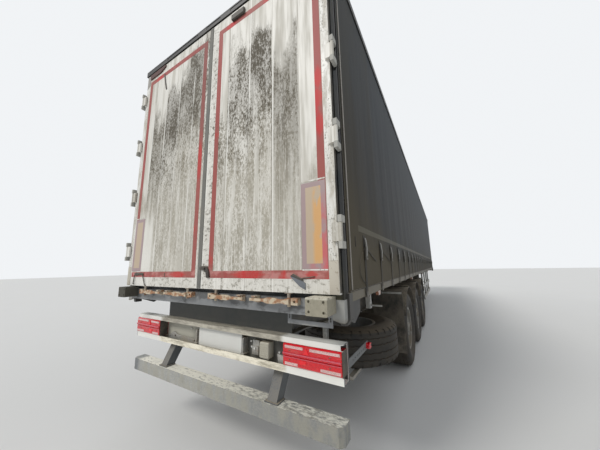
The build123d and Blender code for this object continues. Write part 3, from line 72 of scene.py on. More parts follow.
aim_camera()


# Shader maths: a socket that can be used in plain expressions
def operator(operation, turned=False):
    """A method that adds a Math node for the operation, with its operands swapped when turned."""
    def method(self, *other):
        operands = (*other, self) if turned else (self, *other)
        return self.graph.add("ShaderNodeMath", {"operation": operation}, dict(enumerate(operands)))
    return method


class Value:
    def __init__(self, graph, socket):
        self.graph = graph
        self.socket = socket

    __add__, __radd__ = operator("ADD"), operator("ADD", turned=True)
    __sub__, __rsub__ = operator("SUBTRACT"), operator("SUBTRACT", turned=True)
    __mul__, __rmul__ = operator("MULTIPLY"), operator("MULTIPLY", turned=True)
    __truediv__ = operator("DIVIDE")
    __gt__, __lt__ = operator("GREATER_THAN"), operator("LESS_THAN")
    # The size without its sign, the larger of two, and what is left over whole numbers
    size, most, part = operator("ABSOLUTE"), operator("MAXIMUM"), operator("FRACT")

    def parts(self, kind="ShaderNodeSeparateColor"):
        """The three numbers held in a colour, or in a place with ShaderNodeSeparateXYZ."""
        node = self.graph.add(kind, {}, {0: self}).socket.node
        return [Value(self.graph, output) for output in node.outputs[:3]]


def paint(red, green, blue):
    """A colour as the eye reads it on a screen, made linear for the shaders."""
    parts = [c / 12.92 if c <= 0.04045 else ((c + 0.055) / 1.055) ** 2.4 for c in (red, green, blue)]
    return (*parts, 1)


class Graph:
    """The nodes of a material or a world while they are put together."""

    def __init__(self, owner):
        self.owner = owner
        owner.use_nodes = True
        self.tree = owner.node_tree
        self.tree.nodes.clear()

    def add(self, kind, settings=None, values=None, output=0):
        """Adds a node: its settings first, then the values or links of its sockets."""
        node = self.tree.nodes.new(kind)
        for key, value in (settings or {}).items():
            if key == "stops":
                ramp = node.color_ramp
                ramp.interpolation = "CONSTANT"
                ramp.elements.remove(ramp.elements[1])
                ramp.elements[0].position, ramp.elements[0].color = value[0]
                for at, colour in value[1:]:
                    ramp.elements.new(at).color = colour
            else:
                setattr(node, key, value)
        for key, value in (values or {}).items():
            if isinstance(value, Value):
                self.tree.links.new(value.socket, node.inputs[key])
            else:
                node.inputs[key].default_value = value
        return Value(self, node.outputs[output]) if node.outputs else None

    def close(self, kind, shader):
        """Ends the graph in its output node."""
        self.add(kind, {}, {"Surface": shader})
        return self.owner


class Skin(Graph):
    """One material, with steps for patterns and colours. Plain colours are given as the eye reads them."""

    def __init__(self, name):
        super().__init__(bpy.data.materials.new(name))
        self.place = self.add("ShaderNodeTexCoord", output="Object")
        self.x, self.y, self.z = self.place.parts("ShaderNodeSeparateXYZ")

    def scaled(self, size, stretch=(1, 1, 1), **more):
        """The place on the piece in steps of that size, longer where stretched."""
        scale = [1 / (size * part) for part in stretch]
        return self.add("ShaderNodeMapping", {}, {"Vector": self.place, "Scale": scale, **more})

    def noise(self, size, stretch=(1, 1, 1), detail=3.0, rough=0.55, shift=(0, 0, 0)):
        """Cloudy noise whose blotches are about that size in metres, longer where stretched."""
        place = self.scaled(size, stretch, Location=shift)
        values = {"Vector": place, "Scale": 1.0, "Detail": detail, "Roughness": rough}
        return self.add("ShaderNodeTexNoise", {"noise_dimensions": "3D"}, values)

    def patches(self, start, end, *noise, **more):
        """A noise cut to patches, 0 below start and 1 above end."""
        return self.fade(self.noise(*noise, **more), start, end)

    def mottle(self, first, second, *noise, **more):
        """A colour that wanders between two with a noise."""
        return self.mix(self.noise(*noise, **more), first, second)

    def cells(self, size, output="Distance"):
        return self.add("ShaderNodeTexVoronoi", {}, {"Vector": self.scaled(size), "Scale": 1.0}, output)

    def threads(self, direction):
        values = {"Vector": self.place, "Scale": 90.0}
        return self.add("ShaderNodeTexWave", {"bands_direction": direction}, values)

    def by_plank(self, table):
        """Three numbers that change from plank to plank across the doors."""
        first, last = table[0][0], -table[0][0]
        stops = [((start - first) / (last - first), (*numbers, 1)) for start, *numbers in table]
        place = (self.y - first) / (last - first)
        return self.add("ShaderNodeValToRGB", {"stops": stops}, {0: place})

    def fade(self, value, start, end):
        """0 before start and 1 after end, with a soft turn. start may be the larger."""
        low, high, first, last = (start, end, 0.0, 1.0) if start < end else (end, start, 1.0, 0.0)
        return self.add(
            "ShaderNodeMapRange", {"interpolation_type": "SMOOTHSTEP", "clamp": True},
            {"Value": value, "From Min": low, "From Max": high, "To Min": first, "To Max": last},
        )

    def mix(self, share, first, second):
        """The first colour turning to the second as the share goes to 1."""
        first, second = (paint(*tone) if isinstance(tone, tuple) else tone for tone in (first, second))
        return self.add("ShaderNodeMix", {"data_type": "RGBA"}, {0: share, 6: first, 7: second}, 2)

    def blend(self, share, first, second):
        """The same for plain numbers."""
        return self.add("ShaderNodeMix", {"data_type": "FLOAT"}, {0: share, 2: first, 3: second})

    def clamped(self, operation, first, second):
        """A Math node whose result stays between 0 and 1."""
        return self.add("ShaderNodeMath", {"operation": operation, "use_clamp": True}, {0: first, 1: second})

    def upward(self):
        """How far the surface faces up, from 0 on a wall to 1 on a floor."""
        normal = self.add("ShaderNodeNewGeometry", output="Normal")
        return self.fade(normal.parts("ShaderNodeSeparateXYZ")[2], 0.1, 0.9)

    def bump(self, height, depth, strength=1.0, **more):
        """A normal raised by the height, whose full stroke is that depth in metres."""
        values = {"Strength": strength, "Distance": depth, "Height": height, **more}
        return self.add("ShaderNodeBump", {}, values)

    def done(self, colour, roughness=0.5, metallic=0.0, normal=None, coat=0.0, **fixed):
        """The finished material."""
        values = {"Base Color": colour, "Roughness": roughness, "Metallic": metallic, "Coat Weight": coat}
        if normal is not None:
            values["Normal"] = normal
        values.update({key.replace("_", " "): value for key, value in fixed.items()})
        return self.close("ShaderNodeOutputMaterial", self.add("ShaderNodeBsdfPrincipled", {}, values))


# Road dust and dirt, shared by the finishes below
DUST = (0.60, 0.56, 0.49)
DRY_MUD = (0.50, 0.45, 0.37)
RUST = (0.45, 0.25, 0.13)
BRIGHT_RUST = (0.62, 0.38, 0.20)

# The film on the doors' planks from the right door's outer edge to the left door's: where the plank begins
# along Y, how far up its film reaches (of the door's height), how dense its top is and how flecked it is
PLANK, PLANK_START = 0.245, 0.005
PLANK_FILM = (
    (-1.25, 0.30, 0.10, 0.25), (-0.985, 0.76, 0.80, 0.40), (-0.74, 0.90, 1.0, 0.85),
    (-0.495, 0.86, 0.90, 1.0), (-0.25, 0.66, 0.35, 0.9), (-0.09, 0.97, 0.70, 1.0), (0.075, 1.00, 1.0, 0.62),
    (0.25, 0.96, 1.0, 0.60), (0.495, 0.87, 1.0, 0.8), (0.74, 0.76, 0.72, 0.6), (0.985, 0.42, 0.10, 0.30),
)
# Where the tape is rubbed clean: middle along Y and Z, and reach both ways
RUBBED_TAPE = (
    (-0.52, 1.463, 0.17, 0.05), (-0.25, 3.783, 0.07, 0.05), (-1.136, 2.80, 0.05, 0.10),
    (-1.136, 2.45, 0.05, 0.10), (0.105, 2.50, 0.06, 0.20), (0.33, 1.463, 0.13, 0.04),
    (-1.05, 1.463, 0.05, 0.03),
)


def dusted(skin, colour, amount=0.5, low=0.2, high=1.6, dust=DUST):
    """Lays dust over a colour, thick on ledges and low down, blotchy higher up. Gives its cover too."""
    blotch = skin.noise(0.22, detail=6, rough=0.65)
    grain = skin.noise(0.012, detail=3, rough=0.7)
    settled = skin.fade(skin.z, high, low)
    cover = amount * (0.35 + 0.65 * settled) * skin.fade(blotch + 0.25 * grain, 0.38, 0.78)
    ledge = skin.upward() * skin.fade(grain + blotch, 0.55, 1.15)
    cover = skin.clamped("MAXIMUM", cover, ledge * 0.85)
    return skin.mix(cover, colour, dust), cover


def door_dirt(skin, clean, strength=1.0):
    """Road film on the doors: it reaches another height on each plank, dark and dense at its top edge, washed
    into runs and knocked off in flecks lower down. Gives the colour over the clean one, and its cover."""
    edge, density, flecks = skin.by_plank(PLANK_FILM).parts()
    height = (skin.z - door_low_z) / (door_top_z - door_low_z)
    ragged = skin.noise(0.11, (1, 1, 3.2), 5, 0.62, (0, 1.3, 0.4)) - 0.5
    sweep = skin.noise(0.55, (1, 0.8, 1.6), 2, shift=(0, 3.1, 1.7)) - 0.5
    below = edge + 0.30 * ragged + 0.24 * sweep - height
    film = skin.fade(below, -0.05, 0.09)
    dense = density * skin.fade(below, 0.62, 0.18) * film
    washed = skin.fade(height, 0.50, 0.30)
    broad_runs = skin.patches(0.50, 0.68, 0.045, (1, 1, 16), 4, 0.6) * 0.72
    thin_runs = skin.patches(0.58, 0.70, 0.0085, (1, 1, 70), 2, 0.5) * (0.45 + 0.35 * washed)
    thinned = broad_runs.most(thin_runs) * (0.35 + 0.65 * flecks) * (1 - 0.6 * dense)
    grains = skin.noise(0.0135, (1, 0.8, 1.7), 4, 0.68)
    where = skin.noise(0.19, (1, 0.7, 1.9), 3, 0.6, (0, 0.7, 2.2))
    bare = flecks * (1 - 0.45 * dense) * (1 - 0.42 * washed) * skin.fade(grains + 0.55 * where, 0.768, 0.845)
    dark_grain = flecks * (1 - 0.65 * washed) * skin.fade(grains + 0.5 * where, 0.72, 0.62) * film
    low_flecks = skin.patches(0.61, 0.69, 0.02, (1, 0.7, 1.8)) * 0.35
    cover = film * (0.80 + 0.18 * dense) * (1 - thinned) * (1 - 0.9 * bare) * (1 - low_flecks)
    haze = 0.16 + 0.44 * skin.patches(0.40, 0.66, 0.05, (1, 1, 14), 4)
    cover = (cover + 0.3 * dark_grain).most(haze)
    seam = ((skin.y.size() - PLANK_START) / PLANK).part()
    washed_line = skin.fade(seam, 0.085, 0.03) * skin.patches(0.38, 0.56, 0.3, (1, 1, 3), 4)
    cover = cover * (1 - 0.8 * washed_line)
    # The outer plank of the left door is rinsed low down, and the strip beside the seal is white with specks
    wander = 0.10 * skin.noise(0.07, (1, 1, 5), 4)
    rinsed = skin.fade(skin.y + 0.2 * wander, 0.80, 0.83) * skin.fade(height + wander, 0.37, 0.27)
    strip = (skin.y > -0.09) * (skin.y < 0)
    splashed = skin.patches(0.50, 0.60, 0.035, (1, 1.6, 1), 6, 0.7)
    foot = skin.fade(height, 0.040, 0.032)
    cover = cover * (1 - 0.75 * rinsed) * (1 - (strip * 0.6).most(foot * 0.55) * (1 - splashed))
    cover = skin.clamped("MULTIPLY", cover, strength)
    light = skin.mottle((0.53, 0.508, 0.45), (0.66, 0.633, 0.567), 0.25, (1, 1, 3), 4)
    darker = (dense * 0.95 + dark_grain * 0.5).most(foot.most(strip * 1.6) * splashed * 0.5)
    return skin.mix(cover, clean, skin.mix(darker, light, (0.325, 0.30, 0.25))), cover


# Finishes: each function describes a material, and is kept with the slot of the new pieces that wear it
FINISHES = {}


def finish(slot=None):
    """Makes the material that the function below describes, under the function's name."""
    def make(describe):
        FINISHES[describe.__name__] = (describe(Skin(describe.__name__)), slot)
        return describe
    return make


@finish()
def dirty_white_door_paint(skin):
    """The doors under their road film, with a clean inner skin that is only scuffed."""
    clean = skin.mottle((0.87, 0.86, 0.83), (0.93, 0.925, 0.90), 0.4, detail=2)
    colour, film = door_dirt(skin, clean)
    scuff = skin.patches(0.58, 0.72, 0.09, (1, 2.5, 1), 6, 0.7)
    inner = skin.mix(scuff * 0.5, (0.80, 0.795, 0.775), (0.60, 0.585, 0.55))
    within = skin.x > door_x + 0.0205
    colour, film = skin.mix(within, colour, inner), film * (1 - within)
    drips = skin.noise(0.004, (1, 1, 40), 2)
    return skin.done(colour, 0.42 + 0.4 * film, normal=skin.bump(film * 0.7 + drips * 0.3, 0.0006, 0.5))


@finish("door_white")
def spattered_white_margin(skin):
    """The doors' bare outer margins: white with dark spatters."""
    clean = skin.mottle((0.845, 0.84, 0.815), (0.89, 0.885, 0.865), 0.3, detail=3)
    zone = skin.patches(0.37, 0.54, 0.16, (1, 1, 2), 3)
    spatter = skin.patches(0.54, 0.62, 0.012, (1, 0.8, 1.5), 4, 0.7) * zone
    smear = skin.patches(0.42, 0.64, 0.07, (1, 1, 4), 6, 0.65) * 0.68
    cover = (spatter * 0.85).most(smear)
    colour = skin.mix(cover, clean, skin.mix(spatter, (0.62, 0.585, 0.51), (0.42, 0.40, 0.35)))
    return skin.done(colour, 0.42 + 0.35 * cover, normal=skin.bump(cover, 0.0005, 0.5))


@finish("lamp_red")
def dusty_red_tape(skin):
    """Red tape under a dusty film, bright where the film has been rubbed off."""
    red = skin.mottle((0.80, 0.16, 0.18), (0.70, 0.12, 0.15), 0.2, detail=3)
    rubbed = skin.patches(0.555, 0.65, 0.17, (1, 1.3, 2.0), 5, shift=(0, 0.4, 0.9))
    for middle_y, middle_z, reach_y, reach_z in RUBBED_TAPE:
        away = ((skin.y - middle_y) / reach_y).size() + ((skin.z - middle_z) / reach_z).size()
        rubbed = rubbed.most(skin.fade(away, 1.3, 0.6))
    film = skin.mottle((0.55, 0.39, 0.375), (0.45, 0.345, 0.32), 0.12, (1, 1, 3), 5)
    low = skin.fade(skin.z, 1.56, 1.48) * skin.patches(0.40, 0.60, 0.05, (1, 2, 1), 4)
    film = skin.mix(low * 0.9, film, (0.76, 0.63, 0.61))
    hidden = skin.fade(skin.y, 0.02, 0.06) * skin.fade(skin.y, 0.22, 0.16) * skin.fade(skin.z, 2.62, 2.85)
    colour = skin.mix(skin.blend(rubbed, 0.60, 0.08).most(hidden * 0.74), red, film)
    colour, cover = door_dirt(skin, colour, 0.26)
    normal = skin.bump(skin.cells(0.004), 0.0002, 0.3)
    return skin.done(colour, 0.45 + 0.3 * cover, normal=normal, Specular_IOR_Level=0.15)


def marker_board(skin, tone, dirt):
    """Beaded sheeting under some of the doors' dirt."""
    colour, film = door_dirt(skin, tone, dirt)
    return skin.done(colour, 0.4 + 0.3 * film, normal=skin.bump(skin.cells(0.004), 0.0002, 0.3))


@finish()
def marker_board_orange(skin):
    lively = skin.fade(skin.y, -1.055, -1.085) * skin.patches(0.36, 0.5, 0.07, (1, 1, 2.5), 4)
    return marker_board(skin, skin.mix(lively, (0.735, 0.66, 0.565), (0.835, 0.635, 0.39)), 0.18)


@finish()
def marker_board_border(skin):
    lively = skin.fade(skin.y, -1.015, -1.10) * skin.patches(0.34, 0.52, 0.09, (1, 1, 2), 4)
    lively = lively * skin.fade(skin.z, 2.02, 1.80)
    return marker_board(skin, skin.mix(lively, (0.63, 0.54, 0.55), (0.77, 0.34, 0.37)), 0.20)


def spangled_zinc(skin, dust_amount):
    """Galvanised steel with its spangle, streaks, a little rust and dust."""
    flake = skin.cells(0.018, "Color").parts()[0]
    zinc = skin.mix(flake, (0.55, 0.56, 0.56), (0.68, 0.69, 0.69))
    zinc = skin.mix(skin.patches(0.55, 0.75, 0.05, (1, 1, 6), 4) * 0.5, zinc, (0.42, 0.42, 0.41))
    zinc = skin.mix(skin.patches(0.66, 0.74, 0.07, detail=7, rough=0.7) * 0.7, zinc, RUST)
    colour, cover = dusted(skin, zinc, dust_amount)
    normal = skin.bump(skin.noise(0.006, detail=4), 0.0004, 0.4)
    return skin.done(colour, 0.40 + 0.45 * cover, skin.blend(cover, 0.6, 0.0), normal)


@finish("galvanised")
def weathered_galvanised(skin):
    return spangled_zinc(skin, 0.75)


@finish("galvanised")
def dusty_bracket_zinc(skin):
    return spangled_zinc(skin, 1.0)


@finish()
def rear_post_paint(skin):
    """Rear posts: dark blue-grey, partly their paint and partly painted shade, with patches of painted olive
    reflection; bare zinc on the hinge lugs and the foot.
    """
    # The posts' dark paint, made darker and bluer as painted shade
    dark = skin.mottle((0.07, 0.092, 0.112), (0.12, 0.14, 0.15), 0.3, (1, 1, 4), 4)
    # Painted reflection: olive-yellow patches on the dark posts
    dark = skin.mix(skin.patches(0.52, 0.68, 0.09, (1, 1, 6), 4) * 0.6, dark, (0.33, 0.32, 0.24))
    zinc = skin.mottle((0.60, 0.60, 0.58), (0.72, 0.715, 0.69), 0.05, detail=5)
    below_doors = skin.z < door_low_z - 0.032
    zinc = skin.mix(below_doors * 0.6, zinc, (0.55, 0.56, 0.56))
    colour = skin.mix((skin.x < door_x + 0.0355).most(below_doors), dark, zinc)
    foot = skin.fade(skin.z + 0.05 * skin.noise(0.06, detail=4), 1.250, 1.195)
    colour, cover = dusted(skin, skin.mix(foot * 0.9, colour, (0.40, 0.37, 0.315)), 0.2)
    normal = skin.bump(skin.noise(0.006, detail=4), 0.0004, 0.4)
    return skin.done(colour, 0.6 + 0.3 * cover, normal=normal, Specular_IOR_Level=0.15)


@finish()
def rusty_lever_steel(skin):
    """Lock levers: rust under pale dust, with the bars and guides above them grey."""
    scale = skin.noise(0.02, detail=8, rough=0.7)
    colour = skin.mix(scale, (0.42, 0.27, 0.18), (0.76, 0.58, 0.44))
    pale = skin.patches(0.42, 0.58, 0.045, (1, 1.6, 1), 5)
    colour = skin.mix(pale * 0.82, colour, (0.80, 0.76, 0.67))
    colour = skin.mix(skin.fade(skin.z, 1.314, 1.322) * 0.8, colour, (0.62, 0.60, 0.56))
    return skin.done(colour, 0.85, 0.15, skin.bump(scale, 0.0012, 0.8))


@finish("curtain_grey")
def coated_curtain_fabric(skin):
    """Coated curtain cloth: dark grey, darkened further as painted shade, bluish high up as a painted sky
    reflection, slightly glossy, beige with dust low down, its weave just showing.
    """
    # Dark grey cloth, darkened further as painted shade
    base = skin.mottle((0.09, 0.10, 0.11), (0.14, 0.147, 0.152), 1.4, (1.5, 1, 0.8), 3)
    # Painted reflection: a bluish sky sheen towards the top
    base = skin.mix(skin.fade(skin.z, 2.2, 3.4) * 0.7, base, (0.10, 0.138, 0.17))
    wipe = skin.noise(0.5, (1, 1, 7), 6, 0.62)
    low_dust = skin.fade(skin.z, 2.35, 1.30)
    rear_dust = skin.fade(skin.x, door_x + 2.2, door_x + 0.1)
    below_buckles = skin.fade(skin.z, 1.72, 1.50) * skin.fade(skin.x, door_x + 4.5, door_x + 0.5)
    film = wipe * 0.75 + low_dust * 0.42 + rear_dust * 0.24 + below_buckles * 0.25
    cover = skin.fade(film, 0.42, 1.05) * 0.66
    scuff = skin.patches(0.62, 0.75, 0.06, (3, 1, 1), 7, 0.7)
    colour = skin.mix(scuff * 0.14, base, (0.40, 0.40, 0.38))
    colour = skin.mix(cover, colour, (0.385, 0.355, 0.29))
    strip = (skin.z > 1.761) * (skin.z < 1.806) * (skin.x > door_x + 0.39)
    colour = skin.mix(strip * 0.45, colour, (0.47, 0.46, 0.41))
    weave = skin.bump(skin.threads("X") * skin.threads("Z"), 0.0004, 0.25)
    normal = skin.bump(skin.noise(0.35, (0.5, 1, 3.0), 3), 0.012, 0.35, Normal=weave)
    return skin.done(colour, 0.55 + 0.3 * cover, normal=normal, Specular_IOR_Level=0.10)


@finish("roof_fabric")
def coated_roof_fabric(skin):
    base = skin.mottle((0.72, 0.73, 0.74), (0.64, 0.65, 0.66), 1.1, detail=3)
    stain = skin.patches(0.48, 0.75, 0.35, (1, 2.2, 1), 7, 0.65)
    colour = skin.mix(stain * 0.6, base, (0.42, 0.41, 0.38))
    return skin.done(colour, 0.5 + 0.3 * stain, normal=skin.bump(skin.threads("X"), 0.0004, 0.25))


@finish("tyre_rubber")
def dusty_tyre_rubber(skin):
    base = skin.mottle((0.07, 0.07, 0.07), (0.11, 0.108, 0.105), 0.2, detail=4)
    colour, cover = dusted(skin, base, 0.42, 0.0, 1.1, (0.37, 0.33, 0.27))
    return skin.done(colour, 0.72 + 0.2 * cover, normal=skin.bump(skin.noise(0.005, detail=4), 0.0006, 0.5))


@finish()
def dusty_underrun_zinc(skin):
    """Underrun bar: pale dust in specks on top, made paler still as painted sunlight on the top faces,
    streaked zinc on its faces, darker at its left end.
    """
    zinc = skin.mottle((0.53, 0.54, 0.54), (0.68, 0.68, 0.66), 0.06, (1, 1.5, 1), 5)
    spots = skin.patches(0.44, 0.60, 0.011, (1, 1.6, 1), 4, 0.65)
    zinc = skin.mix(spots * 0.4, zinc, (0.74, 0.73, 0.69))
    stain = skin.patches(0.58, 0.72, 0.05, (1, 1.5, 2), 6, 0.65)
    zinc = skin.mix(stain * 0.45, zinc, (0.37, 0.36, 0.33))
    along = skin.fade(skin.y + 0.5 * skin.noise(0.3, detail=3), -0.75, 0.65)
    zinc = skin.mix((1 - along) * 0.55, zinc, (0.40, 0.405, 0.40))
    face = skin.patches(0.38, 0.62, 0.03, (1, 2, 5), 5)
    zinc = skin.mix(face * 0.5, zinc, (0.62, 0.605, 0.545))
    specks = skin.noise(0.020, (1, 2.6, 1), 7, 0.72) + 0.09 * along
    # Dust specks on the top faces, made paler as painted sunlight
    top = skin.upward() * skin.fade(specks, 0.41, 0.58)
    colour = skin.mix(top * 0.92, zinc, skin.mix(along, (0.84, 0.835, 0.79), (0.97, 0.96, 0.91)))
    colour = skin.mix(skin.fade(skin.y, 1.02, 1.10) * 0.7, colour, (0.36, 0.385, 0.41))
    return skin.done(colour, 0.62 + 0.2 * top, 0.1, skin.bump(spots, 0.0008, 0.5))


@finish()
def rear_light_bar_paint(skin):
    """Channel of the rear lamps: white at its ends, thick dust on both lips between, dark grey inside."""
    white = skin.mottle((0.83, 0.83, 0.805), (0.94, 0.94, 0.915), 0.08, (1, 3, 1), 4)
    grit = skin.noise(0.03, (1, 5, 1), 6, 0.7)
    dusty = skin.mix(skin.fade(grit, 0.35, 0.65), (0.54, 0.52, 0.475), (0.74, 0.72, 0.66))
    heaped = skin.mix(skin.fade(grit, 0.30, 0.60), (0.64, 0.61, 0.535), (0.93, 0.905, 0.83))
    dusty = skin.mix(skin.z < 0.90, dusty, heaped)
    middle = skin.fade(skin.y.size() + 0.16 * skin.noise(0.12, detail=3), 0.86, 0.78)
    colour = skin.mix(middle, white, dusty)
    web = skin.mottle((0.22, 0.22, 0.215), (0.40, 0.395, 0.37), 0.12, detail=5)
    leftward = skin.fade(skin.y + 0.2 * skin.noise(0.2, detail=4), 0.20, 0.50)
    web = skin.mix(leftward, web, (0.68, 0.67, 0.62))
    inside = (skin.x > door_x + 0.2) * (skin.x < door_x + 0.2135) * (skin.z > 0.824) * (skin.z < 1.034)
    colour = skin.mix(inside * (skin.y.size() < 1.17), colour, web)
    zinc = skin.mottle((0.34, 0.35, 0.355), (0.46, 0.465, 0.465), 0.05, detail=4)
    colour = skin.mix(skin.y.size() > 1.1755, colour, zinc)
    chip = skin.patches(0.68, 0.72, 0.03, detail=7, rough=0.7)
    colour = skin.mix(chip * 0.7, colour, (0.36, 0.31, 0.26))
    return skin.done(colour, 0.62, normal=skin.bump(grit, 0.0012, 0.5))


@finish()
def dusty_buffer(skin):
    """Rubber buffers under beige dust, rubbed pale along their top edges."""
    dust = skin.mottle((0.50, 0.485, 0.425), (0.66, 0.635, 0.565), 0.03, detail=6, rough=0.7)
    colour = skin.mix(skin.patches(0.60, 0.72, 0.02, detail=4) * 0.6, dust, (0.34, 0.325, 0.285))
    colour = skin.mix((skin.y > 0) * 0.85, colour, (0.17, 0.17, 0.15))
    edge = (skin.y < 0) * skin.fade(skin.z, 1.326, 1.334) * skin.patches(0.32, 0.5, 0.04, detail=3)
    colour = skin.mix(edge * 0.75, colour, (0.80, 0.785, 0.72))
    return skin.done(colour, 0.85, normal=skin.bump(skin.noise(0.008, detail=4), 0.0008, 0.5))


@finish()
def stained_sill_zinc(skin):
    """Rear sill: dull zinc with a dark band of painted shadow under the doors, and stains round the levers.
    """
    zinc = skin.mottle((0.44, 0.45, 0.46), (0.57, 0.575, 0.575), 0.09, (1, 1, 2), 5)
    stain = skin.noise(0.05, (1, 2, 1), 5) + 0.1 * skin.fade(skin.z, 1.24, 1.28)
    stain = skin.fade(stain, 0.52, 0.68)
    zinc = skin.mix(stain * 0.55, zinc, (0.24, 0.24, 0.235))
    # Painted shadow: a dark band under the doors, where their overhang shades the sill's recess
    band = skin.fade(skin.z + 0.006 * skin.noise(0.05, detail=3), 1.316, 1.324) * (skin.z < 1.3495)
    colour = skin.mix(band * 0.85, zinc, (0.16, 0.165, 0.17))
    lip = skin.fade(skin.z, 1.150, 1.142) * skin.patches(0.40, 0.55, 0.2, detail=3)
    colour = skin.mix(lip * 0.6, colour, (0.68, 0.675, 0.65))
    return skin.done(colour, 0.5 + 0.2 * stain, 0.25, skin.bump(skin.noise(0.006, detail=4), 0.0005, 0.4))


@finish()
def worn_load_floor(skin):
    grain = skin.noise(0.03, (22, 1, 1), 6, 0.6)
    colour = skin.mix(grain, (0.20, 0.15, 0.115), (0.31, 0.24, 0.185))
    scrape = skin.upward() * skin.patches(0.60, 0.70, 0.02, (30, 1, 1), 5)
    colour = skin.mix(scrape * 0.6, colour, (0.58, 0.50, 0.41))
    return skin.done(colour, 0.6 + 0.2 * scrape, normal=skin.bump(skin.cells(0.008) + grain, 0.0006, 0.5))


@finish()
def pale_studio_floor(skin):
    colour = skin.mottle((0.86, 0.86, 0.85), (0.87, 0.87, 0.865), 2.0, detail=2)
    return skin.done(colour, 0.85, Specular_IOR_Level=0.1)


def painted_steel(skin, base, worn, dust_amount, rough=0.5, chips=0.70, dust=DUST, bare=(RUST, BRIGHT_RUST)):
    """Sprayed steel: faint orange peel, dust, and rust where the paint has chipped."""
    colour = skin.mottle(base, worn, 0.5, detail=3)
    chip = skin.patches(chips, chips + 0.03, 0.03, detail=8, rough=0.72)
    colour = skin.mix(chip, colour, skin.mottle(*bare, 0.01))
    colour, cover = dusted(skin, colour, dust_amount, dust=dust)
    normal = skin.bump(skin.noise(0.004, detail=2) * 0.3 + cover * 0.7, 0.0005, 0.5)
    return skin.done(colour, rough + (0.9 - rough) * cover, normal=normal)


def moulded(skin, base, worn, dust_amount, rough=0.55):
    """Plastic, rubber, webbing or matt metal under dust."""
    colour, cover = dusted(skin, skin.mottle(base, worn, 0.3, detail=3), dust_amount)
    normal = skin.bump(skin.noise(0.0025, detail=2), 0.0003, 0.4)
    return skin.done(colour, rough + 0.35 * cover, normal=normal)


def lens(skin, colour, glow):
    """A ribbed lamp lens: clear skin over small prisms, with dust in the grooves."""
    prisms = skin.cells(0.006)
    tone = skin.mix(skin.fade(prisms, 0.15, 0.6), colour, glow)
    tone = skin.mix(skin.patches(0.54, 0.76, 0.05, (1, 3, 1), 5) * 0.25, tone, DUST)
    return skin.done(tone, 0.22, normal=skin.bump(prisms, 0.0006, 0.35), coat=0.6)


